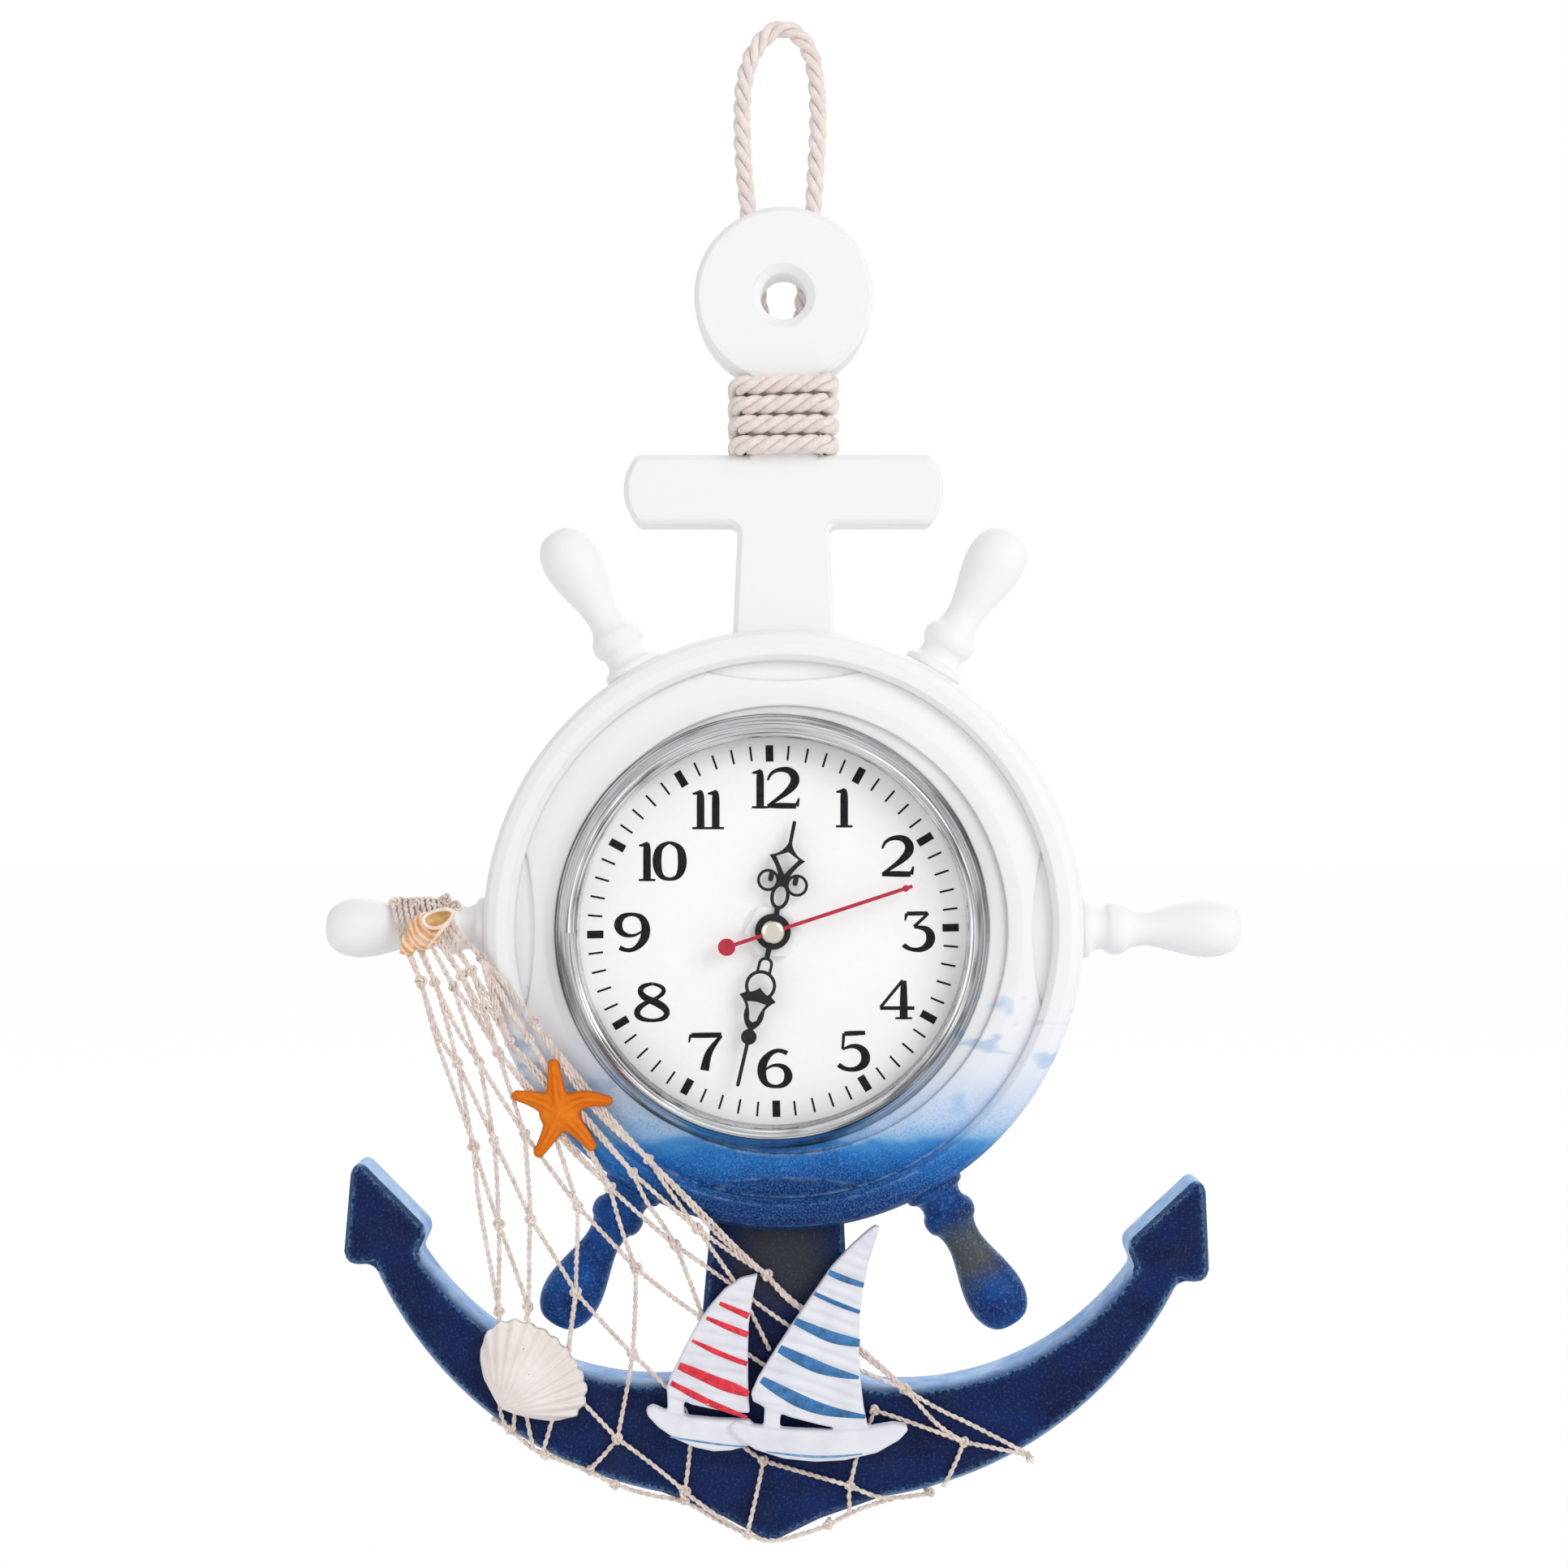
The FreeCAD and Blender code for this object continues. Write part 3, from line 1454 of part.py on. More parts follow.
def make_minute_hand():
    length = minute_hand_length
    arch_foot = minute_arch_foot_share * length
    arch_end = minute_arch_end_share * length
    barb_out = minute_barb_out_share * length
    waist = minute_tulip_waist_share * length
    full = minute_tulip_full_share * length
    end = minute_tulip_end_share * length
    ring_radius_out = ring_hole_radius + ring_line
    arch = mirrored_face(
        [
            (0, arch_foot),
            ((arch_half_width * 0.75, arch_foot + arch_half_width * 0.3), (arch_half_width, arch_foot + arch_half_width)),
            (arch_half_width, arch_end + ring_line),
            (0, arch_end + ring_line),
        ]
    )
    arch_inner = arch_half_width - arch_line
    arch_hole = mirrored_face(
        [
            (0, arch_foot + arch_line),
            ((arch_inner * 0.75, arch_foot + arch_line + arch_inner * 0.3), (arch_inner, arch_foot + arch_line + arch_inner)),
            (arch_inner, ring_out - math.sqrt(ring_radius_out**2 - arch_inner**2)),
            ((arch_inner / 2, ring_out - math.sqrt(ring_radius_out**2 - arch_inner**2 / 4)), (0, ring_out - ring_radius_out)),
        ]
    )
    lens_side = minute_lens_side_share * length
    lens_top = minute_lens_top_share * length
    lens_half = math.sqrt(ring_hole_radius**2 - (lens_side - ring_out) ** 2)
    ring_open = mirrored_face(
        [
            (0, ring_out - ring_hole_radius),
            (
                (ring_hole_radius * math.sqrt(0.5), ring_out - ring_hole_radius * math.sqrt(0.5)),
                (lens_half, lens_side),
            ),
            ((lens_half / 2, (lens_side + lens_top) / 2 + needle_half_width / 2), (0, lens_top)),
        ]
    )
    tulip = mirrored_face(
        [
            (0, ring_out + ring_hole_radius),
            (ring_hole_radius, minute_barb_root_share * length),
            (barb_half_width, barb_out),
            ((tulip_half_width * 1.15, (barb_out + waist) / 2 + stalk_half_width), (tulip_half_width, waist)),
            ((tulip_half_width * 0.95, full), (stalk_half_width, end)),
            (0, end),
        ]
    )
    mouth = ring_out + ring_radius_out + tulip_line * 0.2
    tulip_inner = tulip_half_width - tulip_line
    tulip_hole = mirrored_face(
        [
            (0, mouth),
            (tulip_half_width, mouth + tulip_line * 0.3),
            ((tulip_inner * 1.1, (mouth + full) / 2), (tulip_inner * 0.7, full)),
            (0, full + tulip_line * 0.6),
        ]
    )
    faces = [disc_face(hub_radius), bar_face(stalk_half_width, hub_radius / 2, arch_foot + arch_line)]
    faces += [arch, disc_face(ring_radius_out, 0, ring_out), tulip]
    faces += [bar_face(stalk_half_width, full + tulip_line, ball_out), disc_face(ball_radius, 0, ball_out)]
    faces += [needle_face(ball_out, length)]
    holes = [arch_hole, ring_open, tulip_hole, disc_face(minute_pipe_radius)]
    return hand_from(faces, holes, minute_hand_depth, minute_hand_degrees)


def make_second_hand():
    length = second_hand_length
    faces = [disc_face(second_hub_radius), needle_face(0, length)]
    faces += [bar_face(needle_half_width, -second_tail_length, 0)]
    faces += [disc_face(tail_disc_radius, 0, -second_tail_length)]
    faces += [disc_face(tip_bead_radius, 0, second_bead_share * length)]
    return hand_from(faces, [disc_face(arbor_radius)], second_hand_depth, second_hand_degrees)


def make_hand_cap():
    base = -second_hand_depth - hand_thickness
    profile = [(0, base)]
    profile += [(out * cap_radius, base - up * cap_height) for out, up in cap_shares]
    return to_insert(turned(profile))


# Net
def knot(name):
    across, up = net_knot_shares[name]
    return Vector(across * ring_radius, 0, up * ring_radius)


def inset_polygon(corners, distance):
    # Moves each side of a polygon inwards; None where nothing is left
    count = len(corners)
    area = sum(
        corners[k].x * corners[(k + 1) % count].z - corners[(k + 1) % count].x * corners[k].z for k in range(count)
    )
    if area < 0:
        corners = corners[::-1]
    sides = []
    for k in range(count):
        start = corners[k]
        along = corners[(k + 1) % count] - start
        along.normalize()
        inward = Vector(-along.z, 0, along.x)
        sides.append((start + inward * distance, along))
    inside = []
    for k in range(count):
        (p, d), (q, e) = sides[k - 1], sides[k]
        cross = d.x * e.z - d.z * e.x
        if abs(cross) < 1e-6:
            return None
        t = ((q.x - p.x) * e.z - (q.z - p.z) * e.x) / cross
        inside.append(p + d * t)
    for k in range(count):
        step = inside[(k + 1) % count] - inside[k]
        if step.dot(sides[k][1]) <= 0:
            return None
    return inside


def net_profile(easy):
    # Depth and height of the sheet's back, from the head on the handle to the foot below the anchor
    loop_inner = grip_radius + fit_gap
    eighth = loop_inner * math.tan(math.pi / 8)
    rim_front = ring_thickness + net_front_clearance
    board_front = board_thickness + net_front_clearance
    bend_share = net_easy_bend_share if easy else net_steep_foot_share
    bend_front = net_easy_depth_share * ring_thickness if easy else board_front
    foot_share = net_easy_foot_share if easy else net_easy_bend_share
    stations = [
        (handle_axis_depth + eighth, loop_inner / ring_radius),
        (handle_axis_depth + loop_inner, eighth / ring_radius),
        (rim_front, net_front_share),
        (rim_front, net_rim_share),
        (bend_front, bend_share),
        (board_front, foot_share),
        (board_front, net_bottom_share),
    ]
    return [(-depth, share * ring_radius) for depth, share in stations]


def net_front_at(up):
    # How deep the front of the sheet's left part lies at some height
    stations = net_profile(True)
    for (upper_depth, upper), (lower_depth, lower) in zip(stations, stations[1:]):
        if lower <= up <= upper:
            back = lower_depth + (upper_depth - lower_depth) * (up - lower) / (upper - lower)
            return back - twine_diameter
    return stations[-1][0] - twine_diameter


def sheet_section(across, easy):
    back = [Vector(across, depth, up) for depth, up in net_profile(easy)]
    front = [Vector(p.x, p.y - twine_diameter, p.z) for p in reversed(back)]
    corners = back + front
    return Part.makePolygon(corners + corners[:1])


def make_net():
    outline = inset_polygon([knot(name) for name in net_edge], -twine_diameter / 2)
    face = Part.Face(Part.makePolygon(outline + outline[:1]))
    openings = 0
    for mesh in net_meshes:
        corners = inset_polygon([knot(name) for name in mesh.split()], twine_diameter / 2)
        if corners is None:
            continue
        openings += 1
        face = face.cut(Part.Face(Part.makePolygon(corners + corners[:1])))
    curtain = plate(face, 0, -net_reach)
    easy = Part.makeLoft([sheet_section(net_left, True), sheet_section(-net_fall_near, True)], True, True)
    between = Part.makeLoft([sheet_section(-net_fall_near, True), sheet_section(-net_fall_far, False)], True, True)
    steep = Part.makeLoft([sheet_section(-net_fall_far, False), sheet_section(net_right, False)], True, True)
    sheet = easy.fuse(between).fuse(steep)
    net = curtain.common(sheet)
    loop_inner = grip_radius + fit_gap
    for name in ("h1", "h2", "h3"):
        place = knot(name)
        loop_start = Vector(place.x - twine_diameter / 2, -handle_axis_depth, 0)
        hole = Part.makeCylinder(loop_inner, twine_diameter, loop_start, ACROSS)
        loop = Part.makeCylinder(loop_inner + twine_diameter, twine_diameter, loop_start, ACROSS)
        net = net.fuse(loop.cut(hole))
    print("net: %d openings, %d solids" % (openings, len(net.Solids)))
    return net


# Sea ornaments
net_rim_front = -(ring_thickness + net_front_clearance + twine_diameter + soft_gap)
net_board_front = -(board_thickness + net_front_clearance + twine_diameter + soft_gap)


def make_starfish():
    body = Part.makeSphere(star_body_radius)
    for degrees, share in star_arms:
        length = share * star_arm_length
        direction = bearing_place(1, degrees)
        arm = Part.makeCone(star_arm_root_radius, star_arm_tip_radius, length - star_arm_tip_radius, ORIGIN, direction)
        body = body.fuse(arm)
        body = body.fuse(Part.makeSphere(star_arm_tip_radius, direction * (length - star_arm_tip_radius)))
    half_space = box(-movement_size, movement_size, 0, -movement_size, -movement_size, movement_size)
    body = body.common(half_space)
    body.translate(Vector(star_across, net_rim_front, star_above))
    return body


def scallop_outline(centre_share, size_share, height_share):
    # A fan of ribs about the shell's middle, drawn in towards the umbo
    corners = []
    steps = scallop_ribs * 2
    shift = -scallop_radius * scallop_umbo_share * centre_share
    spread = math.radians(scallop_fan_degrees)
    for k in range(steps + 1):
        angle = -spread / 2 + spread * k / steps
        rib = 1 + (scallop_rib_share if k % 2 else -scallop_rib_share)
        radius = scallop_radius * size_share * rib
        corners.append(Vector(shift + radius * math.cos(angle), 0, radius * math.sin(angle)))
    corners.append(Vector(shift - scallop_radius * scallop_umbo_share * size_share * 1.3, 0, 0))
    wire = Part.makePolygon(corners + corners[:1])
    wire.translate(AXIS * -(scallop_rim + height_share * (scallop_height - scallop_rim)))
    return wire


def make_scallop_shell():
    base = scallop_outline(*scallop_section_shares[0])
    foot = base.copy()
    foot.translate(AXIS * scallop_rim)
    sections = [foot] + [scallop_outline(*shares) for shares in scallop_section_shares]
    shell = Part.makeLoft(sections, True, True)
    shell = turn_clockwise(shell, -scallop_bearing)
    top_depth = net_front_at(scallop_above + scallop_radius)
    bottom_depth = net_front_at(scallop_above - scallop_radius)
    lean = math.degrees(math.atan2(bottom_depth - top_depth, 2 * scallop_radius))
    shell.rotate(ORIGIN, ACROSS, lean)
    middle_depth = (top_depth + bottom_depth) / 2
    shell.translate(Vector(scallop_across, middle_depth - soft_gap, scallop_above))
    return shell


def make_conch_shell():
    # Along the shell's own axis from its spire to its mouth
    def at(share):
        return share[0] * conch_length, share[1] * conch_radius

    start = Vector(0, 0, 0)
    corners = [start] + [along_handle(*at(share)) for share in conch_whorl_shares]
    corners += [along_handle(*at(share)) for share in conch_body_shares]
    corners.append(along_handle(*at(conch_lip_share)))
    corners.append(along_handle(*at((conch_lip_share[0], conch_mouth_share[1]))))
    corners.append(along_handle(conch_throat_share * conch_length, 0))
    shell = Part.Face(Part.makePolygon(corners + corners[:1])).revolve(ORIGIN, ACROSS, 360)
    shell.translate(Vector(-conch_length / 2, 0, 0))
    shell = turn_clockwise(shell, -conch_bearing)
    depth = net_front_at(conch_above) - conch_radius - conch_depth_above_net
    shell.translate(Vector(conch_across, depth, conch_above))
    return shell


# Boats
def boat_point(share, width, height):
    return share[0] * width, share[1] * height


def make_boat(width, height, sail_shares, mast_share):
    foot, tack, clew, leech, head, luff = [boat_point(share, width, height) for share in sail_shares]
    tip = boat_point(hull_tip_share, width, width)
    deck = boat_point(hull_deck_share, width, width)
    keel = boat_point(hull_keel_share, width, width)
    hull = face_through([(-tip[0], tip[1]), (deck, tip), (keel, (-tip[0], tip[1]))])
    sail = face_through([foot, tack, (luff, head), (leech, clew)])
    mast_left, mast_right = mast_share[0] * width, mast_share[1] * width
    mast = face_through(
        [(mast_left, keel[1] / 2), (mast_right, keel[1] / 2), (mast_right, tack[1]), (mast_left, tack[1])]
    )
    boat = plate(hull, 0, -boat_thickness - hull_extra)
    boat = ease_edges(boat, boat_edge_chamfer, on_front(-boat_thickness - hull_extra))
    rig = plate(sail, 0, -boat_thickness).fuse(plate(mast, 0, -boat_thickness)).removeSplitter()
    boat_stern = plate(
        face_through([(clew[0] * 0.5, keel[1] / 2), clew, (clew[0] * 0.5, foot[1])]), 0, -boat_thickness
    )
    return boat.fuse(rig).fuse(boat_stern).removeSplitter()


def make_red_sailboat():
    boat = make_boat(red_boat_width, red_sail_height, red_sail_shares, red_mast_share)
    boat.translate(Vector(red_boat_across, net_board_front, red_boat_above))
    return boat


def make_blue_sailboat():
    boat = make_boat(blue_boat_width, blue_sail_height, blue_sail_shares, blue_mast_share)
    boat.rotate(Vector(blue_boat_width / 2, 0, 0), UP, blue_boat_turn_degrees)
    boat.translate(Vector(blue_boat_across, net_board_front, blue_boat_above))
    return boat


handle_names = (
    "handle_right",
    "handle_upper_right",
    "handle_upper_left",
    "handle_left",
    "handle_lower_left",
    "handle_lower_right",
)


def main():
    os.makedirs("parts", exist_ok=True)
    nodes = {
        "wheel_ring": make_wheel_ring(),
        "anchor_top": drill_for_screws(make_anchor_top()),
        "anchor_bottom": drill_for_screws(make_anchor_bottom()),
        "lap_screws": make_lap_screws(),
        "rope_wrap": make_rope_wrap(),
        "hanging_rope": make_hanging_rope(),
        "net": make_net(),
        "starfish": make_starfish(),
        "scallop_shell": make_scallop_shell(),
        "conch_shell": make_conch_shell(),
        "red_sailboat": make_red_sailboat(),
        "blue_sailboat": make_blue_sailboat(),
        "bezel": make_bezel(),
        "lens": make_lens(),
        "insert_case": make_insert_case(),
        "gasket_band": make_gasket_band(),
        "dial": make_dial(),
        "hour_hand": make_hour_hand(),
        "minute_hand": make_minute_hand(),
        "second_hand": make_second_hand(),
        "hand_cap": make_hand_cap(),
        "movement_washer": make_movement_washer(),
        "movement_nut": make_movement_nut(),
        "movement_front_case": make_movement_front_case(),
        "movement_rear_case": make_movement_rear_case(),
        "battery": make_battery(),
        "contact_plus": make_contact(1),
        "contact_minus": make_contact(-1),
        "circuit_board": make_circuit_board(),
        "stator": make_stator(),
        "coil_bobbin": make_coil_bobbin(),
        "coil_winding": make_coil_winding(),
        "rotor": make_rotor(),
        "intermediate_wheel": make_intermediate_wheel(),
        "second_wheel": make_second_wheel(),
        "third_wheel": make_third_wheel(),
        "centre_wheel": make_centre_wheel(),
        "minute_wheel": make_minute_wheel(),
        "hour_wheel": make_hour_wheel(),
        "setting_knob": make_setting_knob(),
    }
    for index, name in enumerate(handle_names):
        nodes[name] = make_handle(index)
    for name, shape in nodes.items():
        print("%s: %d solids, volume %.1f, valid %s" % (name, len(shape.Solids), shape.Volume, shape.isValid()))
        shape.exportStep("parts/%s.step" % name)


main()
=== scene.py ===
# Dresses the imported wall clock: paint, rope, net, shells, boats, chrome, dial print and the quartz movement.
# Metres, the frame's own axes: Z up, the dial faces -Y, the wheel's axis through the origin.
import math
import random

import bmesh
import bpy
from mathutils import Matrix, Vector


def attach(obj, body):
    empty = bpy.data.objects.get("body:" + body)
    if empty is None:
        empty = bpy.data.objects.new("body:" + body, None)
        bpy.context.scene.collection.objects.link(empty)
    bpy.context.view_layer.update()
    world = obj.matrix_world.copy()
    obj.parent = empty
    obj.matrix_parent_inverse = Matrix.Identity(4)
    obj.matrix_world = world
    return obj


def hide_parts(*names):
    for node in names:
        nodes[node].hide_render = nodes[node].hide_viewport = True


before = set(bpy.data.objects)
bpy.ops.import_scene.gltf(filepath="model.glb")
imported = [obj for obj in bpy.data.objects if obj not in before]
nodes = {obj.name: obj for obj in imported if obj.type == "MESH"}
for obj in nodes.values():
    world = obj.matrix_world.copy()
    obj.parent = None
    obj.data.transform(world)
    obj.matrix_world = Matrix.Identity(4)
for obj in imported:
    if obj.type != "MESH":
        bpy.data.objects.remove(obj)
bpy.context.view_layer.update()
mm = 0.001
print("frame loaded:", len(nodes), "nodes")


# shared helpers


def ink(red, green, blue):  # a screen colour of 0 to 255, made linear
    levels = [level / 255 for level in (red, green, blue)]
    return tuple(v / 12.92 if v <= 0.04045 else ((v + 0.055) / 1.055) ** 2.4 for v in levels) + (1.0,)


def shadeSmooth(mesh):
    mesh.polygons.foreach_set("use_smooth", [True] * len(mesh.polygons))


def blankObject(name, mesh, smooth=True):
    piece = bpy.data.objects.new(name, mesh)
    bpy.context.scene.collection.objects.link(piece)
    if smooth:
        shadeSmooth(mesh)
    return piece


def fromBmesh(name, form, smooth=True):
    bmesh.ops.recalc_face_normals(form, faces=form.faces)
    mesh = bpy.data.meshes.new(name)
    form.to_mesh(mesh)
    form.free()
    return blankObject(name, mesh, smooth)


def onFront(across, depth, up):  # millimetres, depth towards the viewer
    return Vector((across, -depth, up)) * mm


def finishPiece(piece, finish, body, replaced=()):
    piece.data.materials.clear()
    piece.data.materials.append(finish)
    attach(piece, body)
    if replaced:
        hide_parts(*replaced)
    return piece


def readCurve(curve, name):  # a curve's own mesh, in its final place
    holder = bpy.data.objects.new(name, curve)
    bpy.context.scene.collection.objects.link(holder)
    bpy.context.view_layer.update()
    mesh = bpy.data.meshes.new_from_object(holder)
    bpy.data.objects.remove(holder)
    return mesh


def smoothLine(points, perRun=12):  # the NURBS line that has these control points
    curve = bpy.data.curves.new("line", "CURVE")
    curve.dimensions = "3D"
    curve.resolution_u = perRun
    spline = curve.splines.new("NURBS")
    spline.points.add(len(points) - 1)
    for place, point in zip(spline.points, points):
        place.co = (*point, 1)
    spline.order_u = 3
    spline.use_endpoint_u = True
    mesh = readCurve(curve, "line")
    line = [vertex.co.copy() for vertex in mesh.vertices]
    bpy.data.meshes.remove(mesh)
    return line


def evenly(line, step):  # the same line in even steps
    lengths = [0.0]
    for before, after in zip(line, line[1:]):
        lengths.append(lengths[-1] + (after - before).length)
    count = max(2, round(lengths[-1] / step))
    spread = []
    run = 0
    for index in range(count + 1):
        reach = lengths[-1] * index / count
        while run < len(line) - 2 and lengths[run + 1] < reach:
            run += 1
        gap = lengths[run + 1] - lengths[run] or 1.0
        spread.append(line[run].lerp(line[run + 1], (reach - lengths[run]) / gap))
    return spread


def plies(line, count, offset, lay, start=0.0):  # strands that twist round a line
    strands = [[] for _ in range(count)]
    side = None
    travelled = 0.0
    for index, point in enumerate(line):
        ahead = line[min(index + 1, len(line) - 1)] - line[max(index - 1, 0)]
        ahead.normalize()
        if side is None:
            side = ahead.orthogonal().normalized()
        side = (side - ahead * side.dot(ahead)).normalized()
        other = ahead.cross(side)
        if index:
            travelled += (point - line[index - 1]).length
        for strand in range(count):
            angle = start + math.tau * (travelled / lay + strand / count)
            strands[strand].append(point + (side * math.cos(angle) + other * math.sin(angle)) * offset)
    return strands


def tubes(name, lines, radius, roundness=2, closed=False, radii=None):  # one mesh of round tubes
    curve = bpy.data.curves.new(name, "CURVE")
    curve.dimensions = "3D"
    curve.bevel_depth = radius
    curve.bevel_resolution = roundness
    curve.use_fill_caps = not closed
    curve.twist_mode = "MINIMUM"
    for number, line in enumerate(lines):
        spline = curve.splines.new("POLY")
        spline.points.add(len(line) - 1)
        for index, point in enumerate(line):
            spline.points[index].co = (*point, 1)
            if radii:
                spline.points[index].radius = radii[number][index]
        spline.use_cyclic_u = closed
    mesh = readCurve(curve, name)
    mesh.name = name
    return mesh


def joined(name, meshes):
    form = bmesh.new()
    for mesh in meshes:
        form.from_mesh(mesh)
    whole = bpy.data.meshes.new(name)
    form.to_mesh(whole)
    form.free()
    return blankObject(name, whole)


def spun(form, steps, sides, closed=False):  # a profile of (radius, height) in millimetres, turned round Z
    ends = [form.verts.new((radius * mm, 0, height * mm)) for radius, height in steps]
    edges = [form.edges.new(pair) for pair in zip(ends, ends[1:])]
    if closed:
        edges.append(form.edges.new((ends[-1], ends[0])))
    geometry = ends + edges
    bmesh.ops.spin(
        form, geom=geometry, cent=(0, 0, 0), axis=(0, 0, 1), angle=math.tau, steps=sides, use_merge=True
    )


def lathe(name, steps, sides, placing, closed=True):
    form = bmesh.new()
    spun(form, steps, sides, closed)
    bmesh.ops.remove_doubles(form, verts=form.verts, dist=0.0005 * mm)
    bmesh.ops.transform(form, matrix=placing, verts=form.verts)
    return fromBmesh(name, form)


def rounded(points, perRun=6):  # a profile through a smooth line, in millimetres
    line = smoothLine([Vector((across, 0, up)) for across, up in points], perRun)
    return [(point.x, point.z) for point in line]


def readOff(table, place):  # reads a table of (place, value), with straight runs between its rows
    for (low, lowValue), (high, highValue) in zip(table, table[1:]):
        if place <= high:
            share = (place - low) / (high - low)
            return lowValue + (highValue - lowValue) * share
    return table[-1][1]


def flatten(piece, depth, thickness):  # presses a piece of tubes flat on to a plane that faces the viewer
    for vertex in piece.data.vertices:
        vertex.co.y = -depth * mm + vertex.co.y * thickness
    return piece


def fuse(piece, voxel, smooth=False):  # one closed skin round all the parts of a piece
    skin = piece.modifiers.new("fuse", "REMESH")
    skin.mode = "VOXEL"
    skin.voxel_size = voxel * mm
    skin.use_smooth_shade = smooth
    bpy.context.view_layer.update()
    mesh = bpy.data.meshes.new_from_object(piece.evaluated_get(bpy.context.evaluated_depsgraph_get()))
    piece.modifiers.clear()
    piece.data = mesh


def soften(form, rounds=3):
    for _ in range(rounds):
        bmesh.ops.smooth_vert(
            form, verts=form.verts, factor=0.5, use_axis_x=True, use_axis_y=True, use_axis_z=True
        )


# shared parts of the finishes


def startFinish(name, colour, rough, metal=0.0, **sockets):
    material = bpy.data.materials.new(name)
    material.use_nodes = True
    tree = material.node_tree
    shader = tree.nodes["Principled BSDF"]
    shader.inputs["Base Color"].default_value = colour
    shader.inputs["Roughness"].default_value = rough
    shader.inputs["Metallic"].default_value = metal
    for socket, value in sockets.items():
        shader.inputs[socket.replace("_", " ")].default_value = value
    return material, tree, shader


def node(tree, kind, values=None, **settings):
    made = tree.nodes.new("ShaderNode" + kind)
    for setting, value in settings.items():
        setattr(made, setting, value)
    for socket, value in (values or {}).items():
        made.inputs[socket].default_value = value
    return made


def wire(tree, source, target):  # each end is a node with a socket's name or number
    tree.links.new(source[0].outputs[source[1]], target[0].inputs[target[1]])


def place(tree, stretch=(1, 1, 1), shift=(0, 0, 0)):
    where = node(tree, "TexCoord")
    mapping = node(tree, "Mapping", {"Scale": stretch, "Location": shift})
    wire(tree, (where, "Object"), (mapping, "Vector"))
    return mapping


def axesOf(tree, coordinate="Object"):  # X, Y and Z of a place in metres, or of the way that a surface faces
    parts = node(tree, "SeparateXYZ")
    wire(tree, (node(tree, "TexCoord"), coordinate), (parts, "Vector"))
    return parts


def noisy(tree, source, scale, detail=3.0, rough=0.6, twist=0.0):
    values = {"Scale": scale, "Detail": detail, "Roughness": rough, "Distortion": twist}
    noise = node(tree, "TexNoise", values)
    wire(tree, (source, "Vector"), (noise, "Vector"))
    return noise


def grain(tree, scale, detail=3.0, rough=0.6, stretch=(1, 1, 1), twist=0.0):  # noise, its scale in 1/m
    return noisy(tree, place(tree, stretch), scale, detail, rough, twist)


def ramp(tree, source, stops):  # stops are (position, colour or grey level)
    made = node(tree, "ValToRGB")
    elements = made.color_ramp.elements
    while len(elements) < len(stops):
        elements.new(0.5)
    for element, (position, colour) in zip(elements, stops):
        element.position = position
        element.color = colour if isinstance(colour, tuple) else (colour, colour, colour, 1)
    wire(tree, source, (made, "Fac"))
    return made


def steer(tree, shader, socket, noise, stops):  # lets a noise run one of the shader's sockets
    made = ramp(tree, (noise, "Fac"), stops)
    wire(tree, (made, "Color"), (shader, socket))
    return made


def maths(tree, operation, first, second=None, clamp=False):
    made = node(tree, "Math", operation=operation, use_clamp=clamp)
    for index, value in enumerate((first, second)):
        if value is None:
            continue
        if isinstance(value, tuple):
            wire(tree, value, (made, index))
        else:
            made.inputs[index].default_value = value
    return made


def meeting(tree, first, second):  # where two masks meet
    return maths(tree, "MULTIPLY", (first, "Color"), (second, "Color"), True)


def mixed(tree, factor, first, second, blend="MIX"):
    made = node(tree, "Mix", data_type="RGBA", blend_type=blend)
    for index, value in ((0, factor), (6, first), (7, second)):  # the numbers of its colour sockets
        if isinstance(value, tuple) and isinstance(value[0], bpy.types.Node):
            wire(tree, value, (made, index))
        else:
            made.inputs[index].default_value = value
    return made


def bumped(tree, shader, source, strength, distance, under=None):
    bump = node(tree, "Bump", {"Strength": strength, "Distance": distance * mm})
    wire(tree, source, (bump, "Height"))
    if under:
        wire(tree, under, (bump, "Normal"))
    wire(tree, (bump, "Normal"), (shader, "Normal"))


def roundNormal(tree, radius, samples=6):  # the surface's direction, as if its edges were round
    return node(tree, "Bevel", {"Radius": radius * mm}, samples=samples)


def edgeMask(tree, radius, samples, stops):  # the edges alone, where the round direction leaves the plain one
    turnedAway = node(tree, "VectorMath", operation="DOT_PRODUCT")
    wire(tree, (roundNormal(tree, radius, samples), "Normal"), (turnedAway, 0))
    wire(tree, (node(tree, "NewGeometry"), "Normal"), (turnedAway, 1))
    return ramp(tree, (turnedAway, "Value"), stops)


# camera, light and floor

view = {
    "across": 0.1,  # the camera's place, in millimetres
    "distance": 612.0,
    "up": 32.9,
    "lens": 60.4,
    "sensor": 36.0,
    "near": 0.01,
    "middle": (965.5, 966.0),  # the photograph's middle, in its own pixels
    "pixel": 0.185,  # a pixel's size on a plane at pixelAt from the camera, in millimetres
    "pixelAt": 600.0,
}
camera = bpy.data.objects.new("camera", bpy.data.cameras.new("camera"))
camera.location = onFront(view["across"], view["distance"], view["up"])
camera.rotation_euler = (math.radians(90), 0, 0)
camera.data.lens = view["lens"]
camera.data.sensor_width = view["sensor"]
camera.data.clip_start = view["near"]
bpy.context.scene.collection.objects.link(camera)
bpy.context.scene.camera = camera
bpy.context.scene.view_settings.view_transform = "Standard"

